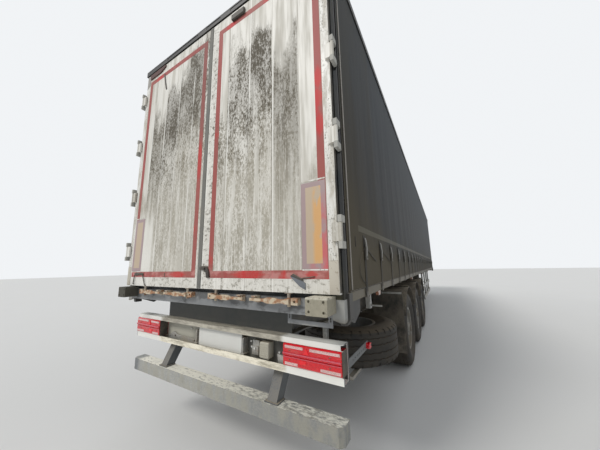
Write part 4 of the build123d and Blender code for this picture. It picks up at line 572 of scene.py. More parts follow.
# Finishes of one kind: name, slot, the two colours each wanders between, then as the kind's function says
SIMPLE_FINISHES = {
    painted_steel: (
        ("dark_frame_paint", None, (0.20, 0.21, 0.22), (0.27, 0.28, 0.28), 0.6),
        # Side rails: dusty beige paint, darkened as painted shade
        ("side_rail_paint", None, (0.31, 0.29, 0.24), (0.39, 0.365, 0.305), 0.4, 0.5, 0.70,
         (0.50, 0.46, 0.38)),
        ("axle_paint", "axle_black", (0.10, 0.10, 0.11), (0.15, 0.15, 0.15), 0.75, 0.5, 0.70, DRY_MUD),
        ("wheel_paint", "wheel_steel", (0.62, 0.63, 0.63), (0.54, 0.55, 0.55), 0.7, 0.4, 0.70, DRY_MUD),
        ("white_front_paint", "rail_steel", (0.86, 0.85, 0.83), (0.80, 0.795, 0.77), 0.45),
        ("dusty_corner_patch", "door_white", (0.78, 0.76, 0.71), (0.69, 0.66, 0.60), 0.45, 0.7, 0.585, DUST,
         ((0.50, 0.45, 0.38), (0.62, 0.57, 0.49))),
        ("underrun_arm_paint", None, (0.26, 0.285, 0.31), (0.335, 0.36, 0.38), 0.16),
        ("curtain_pole_paint", None, (0.15, 0.16, 0.175), (0.21, 0.215, 0.22), 0.25),
        ("strap_buckle_steel", "galvanised", (0.20, 0.195, 0.185), (0.30, 0.29, 0.27), 0.5),
        # Buckle levers: zinc, in a darker copy as painted shade
        ("buckle_lever_zinc", "galvanised", (0.38, 0.38, 0.37), (0.48, 0.475, 0.455), 0.4),
    ),
    moulded: (
        ("black_plastic", "black_plastic", (0.07, 0.07, 0.075), (0.11, 0.11, 0.11), 0.6),
        ("black_hood", None, (0.055, 0.055, 0.06), (0.085, 0.085, 0.085), 0.12, 0.5),
        ("dark_red_bracket", None, (0.17, 0.12, 0.11), (0.34, 0.13, 0.12), 0.2, 0.65),
        ("grey_rear_plate", None, (0.235, 0.245, 0.24), (0.28, 0.29, 0.285), 0.16, 0.6),
        ("grey_door_seal", "spring_rubber", (0.36, 0.365, 0.36), (0.46, 0.46, 0.44), 0.5, 0.7),
        ("dark_ironwork", "bare_steel", (0.15, 0.14, 0.13), (0.24, 0.22, 0.20), 0.5, 0.6),
        ("grey_strap", "black_plastic", (0.45, 0.48, 0.52), (0.36, 0.37, 0.38), 0.35, 0.6),
        ("black_rubber", "spring_rubber", (0.06, 0.06, 0.06), (0.10, 0.10, 0.10), 0.7, 0.75),
        ("black_roof_rail", None, (0.05, 0.05, 0.055), (0.085, 0.085, 0.085), 0.15, 0.5),
        ("blank_pale_plate", "door_white", (0.86, 0.86, 0.84), (0.80, 0.80, 0.785), 0.12, 0.45),
        # Curtain edge profiles: pale aluminium, partly a painted highlight along the lit edge
        ("curtain_edge_profile", "rail_steel", (0.56, 0.54, 0.51), (0.48, 0.46, 0.43), 0.2, 0.5),
        ("hood_trim", "rail_steel", (0.47, 0.48, 0.49), (0.38, 0.385, 0.39), 0.1, 0.45),
        ("door_corner_plate", "door_white", (0.62, 0.61, 0.59), (0.53, 0.515, 0.49), 0.3),
        ("ribbed_box_grey", "black_plastic", (0.70, 0.69, 0.64), (0.80, 0.78, 0.72), 0.2, 0.6),
        ("strap_webbing", "black_plastic", (0.10, 0.10, 0.095), (0.17, 0.16, 0.145), 0.5, 0.85),
        ("red_coupling_cap", "lamp_red", (0.60, 0.10, 0.09), (0.50, 0.12, 0.10), 0.35, 0.5),
        ("yellow_coupling_cap", "lamp_amber", (0.80, 0.62, 0.12), (0.70, 0.55, 0.16), 0.35, 0.5),
    ),
    lens: (
        ("red_lamp_lens", None, (0.62, 0.015, 0.06), (0.84, 0.05, 0.12)),
        ("pale_reflector", "lamp_red", (0.72, 0.53, 0.53), (0.86, 0.72, 0.71)),
        ("amber_lamp_lens", None, (0.44, 0.27, 0.19), (0.56, 0.37, 0.27)),
        ("bright_red_lens", "lamp_red", (0.84, 0.01, 0.07), (0.92, 0.05, 0.12)),
        # Painted highlight: the pink along the lenses' ridges
        ("pink_lens_ridge", "lamp_red", (0.70, 0.18, 0.24), (0.80, 0.34, 0.40)),
    ),
}
for kind, rows in SIMPLE_FINISHES.items():
    for name, slot, *details in rows:
        FINISHES[name] = (kind(Skin(name), *details), slot)

# Which solid nodes wear which finish; * stands for any letters
NODE_FINISHES = {
    "dark_frame_paint": "main_rails cross_members hanger_brackets landing_legs coupling_plate",
    "weathered_galvanised": "roof_bows side_posts strap_buckles spare_cradle leg_feet side_guards kingpin",
    "axle_paint": "axle_beams trailing_arms brake_chambers air_tanks dampers",
    "black_plastic": "mudguards coupling_panel door_right_stop",
    "dirty_white_door_paint": "door_*_panel door_*_hinges",
    "rusty_lever_steel": "door_catches door_*_locks",
    "dusty_tyre_rubber": "tyre_* spare_wheel", "wheel_paint": "wheel_*",
    "coated_curtain_fabric": "curtain_left curtain_right", "coated_roof_fabric": "roof_cover",
    "curtain_pole_paint": "curtain_poles", "side_rail_paint": "side_rails", "worn_load_floor": "load_floor",
    "stained_sill_zinc": "rear_sill", "dusty_buffer": "dock_buffers", "rear_post_paint": "rear_posts",
    "black_hood": "rear_header", "black_roof_rail": "roof_rails", "white_front_paint": "front_wall",
    "rear_light_bar_paint": "light_bar", "red_lamp_lens": "tail_lamps", "amber_lamp_lens": "marker_lamps",
    "dusty_underrun_zinc": "underrun_bar", "underrun_arm_paint": "underrun_arms",
    "grey_rear_plate": "rear_plate", "black_rubber": "air_springs", "dark_red_bracket": "door_left_bracket",
}
for finish_name, patterns in NODE_FINISHES.items():
    for node_name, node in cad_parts.items():
        if any(fnmatch(node_name, pattern) for pattern in patterns.split()):
            for held in node.material_slots:
                held.material = FINISHES[finish_name][0]


# Modelling steps that the pieces share
def select(*pieces):
    """Goes to object mode with only these pieces selected, the first of them active."""
    if bpy.context.object is not None and bpy.context.object.mode != "OBJECT":
        leave_edit()
    bpy.ops.object.select_all(action="DESELECT")
    for piece in pieces:
        piece.select_set(True)
    if pieces:
        bpy.context.view_layer.objects.active = pieces[0]


def leave_edit():
    bpy.ops.object.mode_set(mode="OBJECT")


def choose_all():
    bpy.ops.mesh.select_all(action="SELECT")


def extrude(by):
    bpy.ops.mesh.extrude_region_move(TRANSFORM_OT_translate={"value": by})


def apply_modifier(piece, kind, **settings):
    select(piece)
    step = piece.modifiers.new("step", kind)
    for key, value in settings.items():
        setattr(step, key, value)
    bpy.ops.object.modifier_apply(modifier=step.name)


def soften(piece, width, segments=2):
    """Rounds the edges sharper than thirty degrees."""
    limit = {"limit_method": "ANGLE", "angle_limit": radians(30)}
    apply_modifier(piece, "BEVEL", width=width, segments=segments, **limit)
    return piece


def start_box(corner, opposite, rounding=0.0, segments=2):
    """A block between two corners."""
    select()
    bpy.ops.mesh.primitive_cube_add(size=1, location=[(a + b) / 2 for a, b in zip(corner, opposite)])
    piece = bpy.context.object
    piece.scale = [abs(b - a) for a, b in zip(corner, opposite)]
    bpy.ops.object.transform_apply(location=True, rotation=True, scale=True)
    return soften(piece, rounding, segments) if rounding else piece


def start_rod(start, end, radius, sides=16, far_radius=None):
    """A round bar or cone from one point to another."""
    select()
    start, end = Vector(start), Vector(end)
    bpy.ops.mesh.primitive_cone_add(
        vertices=sides, radius1=radius, radius2=radius if far_radius is None else far_radius,
        depth=(end - start).length, location=(start + end) / 2,
        rotation=(end - start).to_track_quat("Z", "Y").to_euler(),
    )
    bpy.ops.object.transform_apply(location=True, rotation=True, scale=True)
    return bpy.context.object


def start_line(points):
    """A line of edges through the points, drawn by extruding one vertex on and on, left in edit mode."""
    select()
    bpy.ops.mesh.primitive_plane_add(size=0.01, location=points[0])
    bpy.ops.object.transform_apply(location=True, rotation=True, scale=True)
    bpy.ops.object.mode_set(mode="EDIT")
    bpy.ops.mesh.select_mode(type="VERT")
    choose_all()
    bpy.ops.mesh.merge(type="CENTER")
    for before, after in zip(points, points[1:]):
        extrude(Vector(after) - Vector(before))
    return bpy.context.object


def start_plate(points, along):
    """A plate of that outline, pulled out along a vector."""
    piece = start_line(points)
    choose_all()
    bpy.ops.mesh.edge_face_add()
    extrude(along)
    choose_all()
    bpy.ops.mesh.normals_make_consistent(inside=False)
    leave_edit()
    return piece


def start_upright_plate(x, outline, thick):
    """A plate whose outline is drawn along Y and Z, pulled forward from that X."""
    return start_plate([(x, y, z) for y, z in outline], (thick, 0, 0))


def start_band(points, width, thick, rounds=0):
    """A strip as wide as the vector along a line of points, its bends smoothed that many times."""
    piece = start_line(points)
    choose_all()
    extrude(width)
    leave_edit()
    if rounds:
        apply_modifier(piece, "SUBSURF", levels=rounds, render_levels=rounds)
    apply_modifier(piece, "SOLIDIFY", thickness=thick, offset=0)
    return piece


def start_turned(points, centre, axis, steps):
    """A body spun from a line of points about an axis."""
    piece = start_line(points)
    choose_all()
    bpy.ops.mesh.spin(steps=steps, angle=2 * pi, center=centre, axis=axis)
    choose_all()
    bpy.ops.mesh.remove_doubles(threshold=0.00005)
    bpy.ops.mesh.normals_make_consistent(inside=False)
    leave_edit()
    return piece


def rear_face(middle, facing):
    return facing.x < -0.99


def choose_faces(piece, wanted=lambda middle, facing: True):
    """Goes to edit mode with only the faces selected whose middle and normal are wanted."""
    select(piece)
    bpy.ops.object.mode_set(mode="EDIT")
    bpy.ops.mesh.select_mode(type="FACE")
    bpy.ops.mesh.select_all(action="DESELECT")
    leave_edit()
    for face in piece.data.polygons:
        face.select = bool(wanted(face.center, face.normal))
    bpy.ops.object.mode_set(mode="EDIT")


def inset_rear(piece, *steps):
    """Draws in the rear face, in steps of width and depth."""
    choose_faces(piece, rear_face)
    for width, depth in steps:
        bpy.ops.mesh.inset(thickness=width, depth=depth)
    leave_edit()
    return piece


def divide(piece, cuts):
    choose_faces(piece)
    bpy.ops.mesh.subdivide(number_cuts=cuts)
    leave_edit()


def flip(piece):
    choose_faces(piece)
    bpy.ops.mesh.flip_normals()
    leave_edit()


def join(pieces):
    select(*pieces)
    bpy.ops.object.join()
    return bpy.context.object


def copied(piece, move):
    """A copy with its own mesh, moved by the matrix."""
    copy = piece.copy()
    copy.data = piece.data.copy()
    copy.data.transform(move)
    bpy.context.collection.objects.link(copy)
    return copy


def repeat(piece, offsets, keep=True):
    """Copies at each offset, joined to the first piece unless that isn't kept."""
    copies = [copied(piece, Matrix.Translation(offset)) for offset in offsets]
    if keep:
        return join([piece] + copies)
    bpy.data.objects.remove(piece)
    return join(copies)


def both_sides(piece):
    """The piece joined with its mirror image on the trailer's other side."""
    mirrored = copied(piece, Matrix.Scale(-1, 4, (0, 1, 0)))
    flip(mirrored)
    return join([piece, mirrored])


def settle(piece, name, finish_name, body="trailer", slot=None, replaces=(), angle=30):
    """Gives the finished piece its name, its finish and the body that it rides on."""
    select(piece)
    bpy.ops.object.transform_apply(location=True, rotation=True, scale=True)
    bpy.ops.object.shade_smooth_by_angle(angle=radians(angle))
    piece.name = name
    piece.data.name = name
    if finish_name:
        material, usual_slot = FINISHES[finish_name]
        slot = slot or usual_slot
        piece.data.materials.clear()
        piece.data.materials.append(material)
    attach(piece, body)
    if replaces:
        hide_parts(*replaces)
    return piece


# Tyres: worn ribs with zigzag grooves and notched shoulders, on the sections of the solid ones
TYRE_STEPS = 144
GROOVE_DEPTH, GROOVE_HALF, ZIGZAG = 0.011, 0.0055, 0.0035
# From the bead up the side and over the shoulder: reach from the tyre's middle, and radius
TYRE_SIDE = (
    (0.1497, 0.2863), (0.1497, 0.3063), (0.1583, 0.3063), (0.1655, 0.330), (0.1685, 0.335), (0.180, 0.372),
    (0.1822, 0.374), (0.188, 0.398), (0.1893, 0.4005), (0.1918, 0.412), (0.1922, 0.430), (0.1914, 0.447),
    (0.1890, 0.462), (0.1868, 0.464), (0.1850, 0.479), (0.1800, 0.490), (0.1715, 0.506), (0.1640, 0.519),
    (0.1560, 0.528), (0.1440, 0.5345), (0.1290, 0.5353),
)


def make_tyre(name, centre, outward, body, replaced):
    """outward points from the middle of the tyre to its outer face."""
    centre, outward = Vector(centre), Vector(outward)
    up = Vector((0, 0, 1)) if abs(outward.z) < 0.5 else Vector((1, 0, 0))
    half = list(TYRE_SIDE)
    for groove in (0.098, 0.036):
        crown = 0.5360 - 0.0010 * groove / 0.1
        half += [
            (groove + GROOVE_HALF, crown), (groove + GROOVE_HALF * 0.6, crown - GROOVE_DEPTH),
            (groove - GROOVE_HALF * 0.6, crown - GROOVE_DEPTH), (groove - GROOVE_HALF, crown),
        ]
    section = half + [(-reach, radius) for reach, radius in reversed(half)]
    line = [centre + outward * reach + up * radius for reach, radius in section]
    tyre = start_turned(line, centre, outward, TYRE_STEPS)

    def place(point):
        """Reach from the middle, radius, and the turn round the axle in steps."""
        arm = Vector(point) - centre
        reach = arm.dot(outward)
        flat = arm - outward * reach
        turn = flat.angle(up) if flat.length else 0
        turn = turn if flat.cross(up).dot(outward) > 0 else 2 * pi - turn
        return reach, flat.length, turn / (2 * pi) * TYRE_STEPS

    # Every fourth step of the shoulders is pressed in to a notch
    def notch(middle, facing):
        reach, radius, step = place(middle)
        return 0.128 < abs(reach) < 0.176 and radius > 0.51 and int(step) % 4 == 0

    choose_faces(tyre, notch)
    bpy.ops.mesh.inset(thickness=0.0015, depth=-0.006)
    leave_edit()
    # The ribs' edges run in a zigzag round the tyre
    for vertex in tyre.data.vertices:
        reach, radius, step = place(vertex.co)
        if abs(reach) < 0.11 and radius > 0.52:
            vertex.co += outward * (ZIGZAG if round(step) % 4 in (0, 1) else -ZIGZAG)
    return settle(tyre, name, "dusty_tyre_rubber", body, replaces=replaced, angle=26)


tyre_low, tyre_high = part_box("tyre_front_left")
track_half = (tyre_low.y + tyre_high.y) / 2
wheel_radius = tyre_high.z / 2
# Name, side and middle of each wheel
WHEELS = []
for axle in ("front", "middle", "rear"):
    low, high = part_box(f"tyre_{axle}_left")
    for side_name, side in SIDES:
        WHEELS.append((f"{axle}_{side_name}", side, ((low.x + high.x) / 2, side * track_half, wheel_radius)))
for wheel, side, centre in WHEELS:
    make_tyre(f"treaded_tyre_{wheel}", centre, (0, side, 0), f"wheel_{wheel}", (f"tyre_{wheel}",))


# Door dress: tapes, marker boards, seal and small fittings, each on the door that carries it
TAPE_LOW, TAPE_HIGH, TAPE_WIDTH = 1.437, 3.810, 0.054
BOARD_LOW, BOARD_HIGH, BOARD_BORDER = 1.497, 2.054, 0.033
STRIPS = ((1.488, 1.496), (2.060, 2.070))
MARGIN_INNER_Y, MARGIN_LOW = 1.168, 1.546


def start_on_door(y_from, y_to, z_from, z_to, proud=0.0008, rounding=0.0, segments=1):
    """A thin block lying on the doors' outer face."""
    return start_box((door_x - proud, y_from, z_from), (door_x + 0.0005, y_to, z_to), rounding, segments)


for name, y_from, y_to, body in (
    ("tape_frame_right", -0.092, -1.164, "door_right"), ("tape_frame_left", 0.075, 1.150, "door_left"),
):
    tape = start_on_door(y_from, y_to, TAPE_LOW, TAPE_HIGH)
    choose_faces(tape, lambda middle, facing: abs(facing.x) > 0.9)
    bpy.ops.mesh.inset(thickness=TAPE_WIDTH)
    bpy.ops.mesh.bridge_edge_loops()
    leave_edit()
    divide(tape, 3)
    settle(tape, name, "dusty_red_tape", body)

# Blank marker boards: border and field, with a pale strip above and below
for name, y_from, y_to, body in (
    ("marker_board_right", -0.984, -1.160, "door_right"), ("marker_board_left", 0.975, 1.152, "door_left"),
):
    board = start_on_door(y_from, y_to, BOARD_LOW, BOARD_HIGH, 0.0016)
    for tone in ("marker_board_border", "marker_board_orange"):
        board.data.materials.append(FINISHES[tone][0])
    choose_faces(board, rear_face)
    bpy.ops.mesh.inset(thickness=BOARD_BORDER)
    board.active_material_index = 1
    bpy.ops.object.material_slot_assign()
    leave_edit()
    settle(board, name, None, body, "door_white")
    strips = [start_on_door(y_from, y_to, low_z, high_z, 0.0022, 0.0006) for low_z, high_z in STRIPS]
    settle(join(strips), name + "_strips", "spattered_white_margin", body)

# The bare outer margins and the dusty patch at each lower outer corner
for side_name, side in SIDES:
    body = f"door_{side_name}"
    margin_edge = side * (door_outer_y - 0.002)
    margin = start_on_door(side * MARGIN_INNER_Y, margin_edge, MARGIN_LOW, door_top_z - 0.002, 0.0006)
    divide(margin, 4)
    settle(margin, f"outer_margin_{side_name}", "spattered_white_margin", body)
    patch_inner, patch_outer = side * (MARGIN_INNER_Y - 0.002), side * (door_outer_y - 0.001)
    patch = start_on_door(
        patch_inner, patch_outer, door_low_z + 0.001, MARGIN_LOW - 0.002, 0.003, 0.0012, 2,
    )
    settle(patch, f"corner_patch_{side_name}", "dusty_corner_patch", body)

# Rubber seal where the doors meet, ribbed along its length, on the left door
seal_outline = (
    (0.001, -0.004), (-0.004, -0.003), (-0.006, 0.006), (-0.0035, 0.012), (-0.006, 0.019), (-0.0035, 0.026),
    (-0.005, 0.033), (-0.002, 0.044), (0.001, 0.045),
)
seal = start_plate(
    [(door_x + x, y, door_low_z + 0.004) for x, y in seal_outline], (0, 0, door_top_z - door_low_z - 0.008),
)
settle(seal, "meeting_seal", "grey_door_seal", "door_left", angle=50)

# Seals along the doors' outer edges, tucked behind the face
for side_name, side in SIDES:
    edge = start_box(
        (door_x + 0.004, side * (door_outer_y - 0.0005), door_low_z + 0.01),
        (door_x + 0.024, side * (door_outer_y + 0.0035), door_top_z - 0.01), 0.0012,
    )
    settle(edge, f"edge_seal_{side_name}", "black_rubber", f"door_{side_name}")


# Small ironwork on the doors
def make_ironwork(name, body, stand, thick, rounding, outline, finish_name="dark_ironwork", slot=None):
    """A small plate: how proud it stands, thickness, edge rounding, and outline along Y and Z."""
    piece = soften(start_upright_plate(door_x - stand, outline, thick), rounding)
    settle(piece, name, finish_name, body, slot)


def make_wires(name, body, radius, *wires):
    """Thin rods. Each of their ends is given by how proud of the door it stands, Y and Z."""
    rods = []
    for ends in wires:
        start, end = [(door_x - stand, y, z) for stand, y, z in ends]
        rods.append(start_rod(start, end, radius, 8))
    settle(join(rods), name, "dark_ironwork", body)


make_ironwork(
    "centre_hook", "door_right", 0.016, 0.014, 0.003,
    ((0.004, 1.525), (-0.040, 1.534), (-0.087, 1.529), (-0.110, 1.488), (-0.119, 1.441), (-0.102, 1.437),
     (-0.085, 1.439), (-0.076, 1.480), (-0.050, 1.500), (-0.002, 1.501)),
)
hook_foot = start_rod((door_x + 0.001, -0.062, 1.516), (door_x - 0.026, -0.062, 1.516), 0.011, 10)
settle(soften(hook_foot, 0.002), "centre_hook_bolt", "dark_ironwork", "door_right")
make_ironwork(
    "torn_strap_right", "door_right", 0.006, 0.0062, 0.0014,
    ((-0.893, 1.452), (-0.923, 1.462), (-0.968, 1.440), (-1.006, 1.412), (-1.004, 1.372), (-0.962, 1.392),
     (-0.925, 1.424)),
    "grey_strap",
)
make_ironwork(
    "torn_strap_edge_right", "door_right", 0.012, 0.008, 0.0014,
    ((-0.898, 1.456), (-0.921, 1.470), (-0.985, 1.438), (-0.992, 1.425), (-0.935, 1.445)),
)
make_wires(
    "strap_wire_right", "door_right", 0.0032,
    ((0.008, -0.979, 1.440), (0.008, -1.063, 1.451)), ((0.008, -1.063, 1.451), (-0.001, -1.072, 1.451)),
)
make_ironwork(
    "bent_plate_left", "door_left", 0.012, 0.0125, 0.003,
    ((0.900, 1.470), (0.912, 1.484), (0.972, 1.480), (1.035, 1.484), (1.070, 1.476), (1.068, 1.456),
     (1.020, 1.452), (0.960, 1.462), (0.905, 1.452)),
)
make_wires(
    "bent_plate_rods_left", "door_left", 0.0045,
    ((0.010, 1.063, 1.458), (0.010, 1.081, 1.366)), ((0.010, 0.905, 1.458), (0.010, 0.848, 1.356)),
    ((0.010, 0.848, 1.358), (-0.001, 0.842, 1.356)), ((0.010, 1.081, 1.368), (-0.001, 1.085, 1.366)),
)
make_ironwork(
    "hanging_strap_left", "door_left", 0.005, 0.0055, 0.0012,
    ((0.862, 3.792), (0.843, 3.794), (0.826, 3.735), (0.806, 3.660), (0.788, 3.600), (0.772, 3.560),
     (0.789, 3.552), (0.806, 3.592), (0.826, 3.655), (0.845, 3.730)),
    slot="black_plastic",
)
make_ironwork(
    "lock_slit_left", "door_left", 0.0022, 0.0026, 0.0006,
    ((0.523, 1.438), (0.533, 1.438), (0.533, 1.477), (0.523, 1.477)),
)

# A dark line of painted shadow and dirt round every hinge leaf, where it meets the door
leaf_low, leaf_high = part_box("door_left_hinges")
leaf_half, shadow_and_dirt_proud = 0.055, 0.0035
leaf_pitch = (leaf_high.z - leaf_low.z - 2 * leaf_half) / 3
for side_name, side in SIDES:
    inner_y, outer_y = side * (leaf_low.y - 0.004), side * (door_outer_y - 0.001)
    lines = []
    for step in range(4):
        leaf_z = leaf_low.z + leaf_half + step * leaf_pitch
        lines += [
            start_on_door(
                inner_y, inner_y + side * 0.007, leaf_z - leaf_half, leaf_z + leaf_half, shadow_and_dirt_proud, 0.001,
            ),
            start_on_door(inner_y, outer_y, leaf_z + 0.052, leaf_z + 0.059, shadow_and_dirt_proud, 0.001),
        ]
    settle(join(lines), f"leaf_shadow_and_dirt_{side_name}", "dark_ironwork", f"door_{side_name}", "door_white")

# Rear lamps: raised reflectors, a bright triangle and field and two ridges on each lens, their pink a painted
# highlight, and its end caps
lens_x = door_x + 0.118
lens_inner_y, lens_outer_y = 0.7515, 1.1685
reflectors = []
for y_from, y_to, low_z, high_z in (
    (0.765, 0.905, 0.977, 0.9935), (0.955, 1.160, 0.977, 0.9935), (0.765, 0.865, 0.8735, 0.890),
    (1.030, 1.164, 0.8735, 0.890),
):
    reflector = start_box((lens_x - 0.003, y_from, low_z), (lens_x + 0.001, y_to, high_z))
    reflectors.append(soften(inset_rear(reflector, (0.002, -0.001)), 0.0006))
settle(both_sides(join(reflectors)), "lamp_reflectors", "pale_reflector")
triangle = start_upright_plate(lens_x - 0.0035, ((0.908, 0.953), (0.952, 0.953), (0.930, 0.993)), 0.005)
field = start_box((lens_x - 0.0032, 0.880, 0.890), (lens_x + 0.001, 0.928, 0.913))
settle(both_sides(join([triangle, field])), "lamp_bright_fields", "bright_red_lens")
# Two pink rods along each lens's ridges, standing for painted highlights
ridges = [
    start_rod((lens_x - proud, lens_inner_y, z), (lens_x - proud, lens_outer_y, z), radius, sides)
    for proud, z, radius, sides in ((0.0042, 0.9445, 0.0055, 12), (0.0012, 0.9215, 0.0024, 8))
]
settle(both_sides(join(ridges)), "lamp_ridge_highlights", "pink_lens_ridge")
screws = [
    start_rod((lens_x + 0.001, y, z), (lens_x - 0.0032, y, z), 0.0045, 10, 0.0036)
    for y in (1.095, 0.800) for z in (0.9625, 0.9045)
]
settle(both_sides(join(screws)), "lamp_screws", "dark_ironwork")
caps = [
    start_box((lens_x + 0.006, y_from, 0.8605), (door_x + 0.206, y_to, 1.0045), 0.0012)
    for y_from, y_to in ((0.7455, 0.7500), (1.1700, 1.1740))
]
settle(both_sides(join(caps)), "lamp_end_caps", "black_plastic")

# Blank plate in its holder, with a tab at each end
web_x = door_x + 0.2115
holder = start_box((door_x + 0.170, -0.332, 0.842), (web_x, 0.212, 1.004))
settle(soften(inset_rear(holder, (0.007, -0.003)), 0.002), "plate_holder", "black_plastic")
plate = start_box((door_x + 0.1655, -0.320, 0.846), (door_x + 0.1740, 0.200, 0.998), 0.003)
settle(inset_rear(plate, (0.004, 0), (0.002, -0.0012)), "blank_plate", "blank_pale_plate")
tabs = []
for y_from, y_to, low_z in ((0.216, 0.228, 0.868), (-0.348, -0.336, 0.864)):
    tab = start_box((door_x + 0.158, y_from, low_z), (web_x, y_to, 0.972))
    choose_faces(tab, rear_face)
    extrude((-0.004, 0, -0.016))
    leave_edit()
    foot = start_box((door_x + 0.150, y_from - 0.012, low_z - 0.012), (web_x, y_to + 0.012, low_z), 0.0015)
    tabs += [soften(tab, 0.0015), foot]
settle(join(tabs), "plate_holder_tabs", "dusty_bracket_zinc")

# Bracket, ribbed box and bolts to the right of the plate, and the low plates beside the lamps
bracket = start_box((door_x + 0.186, -0.482, 0.862), (web_x, -0.418, 0.964))
choose_faces(bracket, rear_face)
bpy.ops.mesh.bisect(plane_co=(0, 0, 0.922), plane_no=(0, 0, 1))
leave_edit()
choose_faces(bracket, lambda middle, facing: facing.x < -0.9 and middle.z < 0.92)
extrude((-0.010, 0, 0))
leave_edit()
settle(soften(bracket, 0.0018), "light_bar_bracket", "dusty_bracket_zinc")
bolts = [start_rod((door_x + 0.178, -0.450, 0.908), (door_x + 0.168, -0.450, 0.908), 0.008, 6, 0.0075)]
for y, z in (
    (-0.386, 0.945), (-0.658, 0.902), (-0.392, 0.905), (0.365, 0.955), (-0.640, 0.985), (0.560, 0.985),
):
    bolts.append(start_rod((web_x, y, z), (door_x + 0.201, y, z), 0.0085, 6, 0.008))
settle(join(bolts), "light_bar_bolts", "blank_pale_plate", slot="galvanised")
box_body = start_box((door_x + 0.146, -0.602, 0.862), (web_x, -0.522, 0.972), 0.004)
rib = start_box((door_x + 0.1425, -0.5985, 0.868), (door_x + 0.150, -0.5945, 0.966), 0.001, 1)
ribs = repeat(rib, [(0, 0.0081 * step, 0) for step in range(1, 10)])
bar = start_box((door_x + 0.1430, -0.5975, 0.874), (door_x + 0.150, -0.5265, 0.877))
bars = repeat(bar, [(0, 0, 0.0145 * step) for step in range(1, 7)])
settle(join([box_body, ribs, bars]), "ribbed_box", "ribbed_box_grey")
left_outline = (
    (0.270, 0.822), (0.700, 0.822), (0.700, 0.868), (0.620, 0.905), (0.560, 0.882), (0.270, 0.872),
)
right_outline = ((-0.742, 0.822), (-0.690, 0.822), (-0.676, 0.912), (-0.742, 0.905))
low_plates = [
    start_upright_plate(door_x + 0.196, left_outline, 0.006),
    start_upright_plate(door_x + 0.150, right_outline, 0.008),
]
settle(soften(join(low_plates), 0.0015), "light_bar_low_plates", "dusty_bracket_zinc")
holes = [
    start_rod((door_x + 0.1965, y, z), (door_x + 0.1935, y, z), 0.009, 12)
    for y, z in ((0.300, 0.858), (0.595, 0.868))
]
settle(join(holes), "low_plate_holes", "dark_ironwork")

# The curtains' rear edge profile, its paleness partly a painted highlight where the edge catches light, the
# hood's trim and the plate at the left door's top corner
for side_name, side in SIDES:
    foot = (door_x + 0.165, side * 1.2385, 1.362)
    profile = start_box(foot, (door_x + 0.182, side * 1.2448, 3.878), 0.0018)
    settle(profile, f"curtain_edge_profile_{side_name}", "curtain_edge_profile")
trim = start_box((door_x - 0.0125, -1.205, 3.9745), (door_x - 0.0092, 1.205, 3.9795), 0.0012)
settle(trim, "hood_trim", "hood_trim")
make_ironwork(
    "top_corner_plate_left", "door_left", 0.003, 0.0032, 0.0008,
    ((1.120, 3.905), (1.120, 3.868), (1.160, 3.840), (1.168, 3.770), (1.225, 3.735), (1.225, 3.905)),
    "door_corner_plate",
)

# Side curtains: one sheet of coated cloth a side, pulled straight at every strap and slack between them
strap_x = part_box("strap_buckles")[0].x + 0.0225
strap_pitch, strap_count = 0.530, 25
cloth_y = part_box("curtain_left")[1].y
CLOTH_ROWS = 26


def make_cloth(name, finish_name, columns, thick, hang, replaced, flipped=False):
    """A grid of cloth: hang turns each vertex's shares of the length and width, -0.5 to 0.5, to its place."""
    select()
    bpy.ops.mesh.primitive_grid_add(x_subdivisions=columns, y_subdivisions=CLOTH_ROWS, size=1)
    cloth = bpy.context.object
    for vertex in cloth.data.vertices:
        vertex.co = hang(vertex.co.x, vertex.co.y)
    if flipped:
        flip(cloth)
    apply_modifier(cloth, "SOLIDIFY", thickness=thick)
    return settle(cloth, name, finish_name, replaces=replaced, angle=60)


for side_name, side in SIDES:
    low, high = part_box(f"curtain_{side_name}")

    def hang_curtain(along, rise):
        x = low.x + (along + 0.5) * (high.x - low.x)
        rise = rise + 0.5
        slack = 0.5 - 0.5 * cos(2 * pi * (x - strap_x) / strap_pitch)
        belly = sin(pi * min(1.0, rise * 1.15 + 0.02)) ** 0.8 if rise < 0.85 else 0.25 * (1 - rise) / 0.15
        hollow = 0.0036 * slack * belly + 0.0022 * belly * (0.5 + 0.5 * sin(x * 2.3 + 1.1 * sin(x * 0.7)))
        fold = 0.0013 * (0.5 + 0.5 * sin(2 * pi * x / 0.197 + 1.7 * sin(1.9 * x))) * belly
        pull = 0.0020 * slack * max(0.0, 1 - rise / 0.14)
        return x, side * (cloth_y - hollow - fold - pull), low.z + rise * (high.z - low.z)

    curtain = make_cloth(
        f"curtain_cloth_{side_name}", "coated_curtain_fabric", 338, 0.0028, hang_curtain,
        (f"curtain_{side_name}",), side > 0,
    )
    # A hem strip along the cloth's foot, dark as the painted shadow under the hem
    hem = start_box((low.x + 0.01, side * 1.2385, 1.3515), (high.x - 0.01, side * 1.2418, 1.3590), 0.0010, 1)
    settle(hem, f"curtain_hem_and_shadow_{side_name}", "black_rubber", slot="curtain_grey")


# Curtain straps: a patch on the cloth, webbing down to a hook under the side rail, buckle and lever
def at_straps(piece, name, finish_name, replaced=()):
    piece = repeat(piece, [(strap_pitch * step, 0, 0) for step in range(1, strap_count)])
    settle(both_sides(piece), name, finish_name, replaces=replaced)


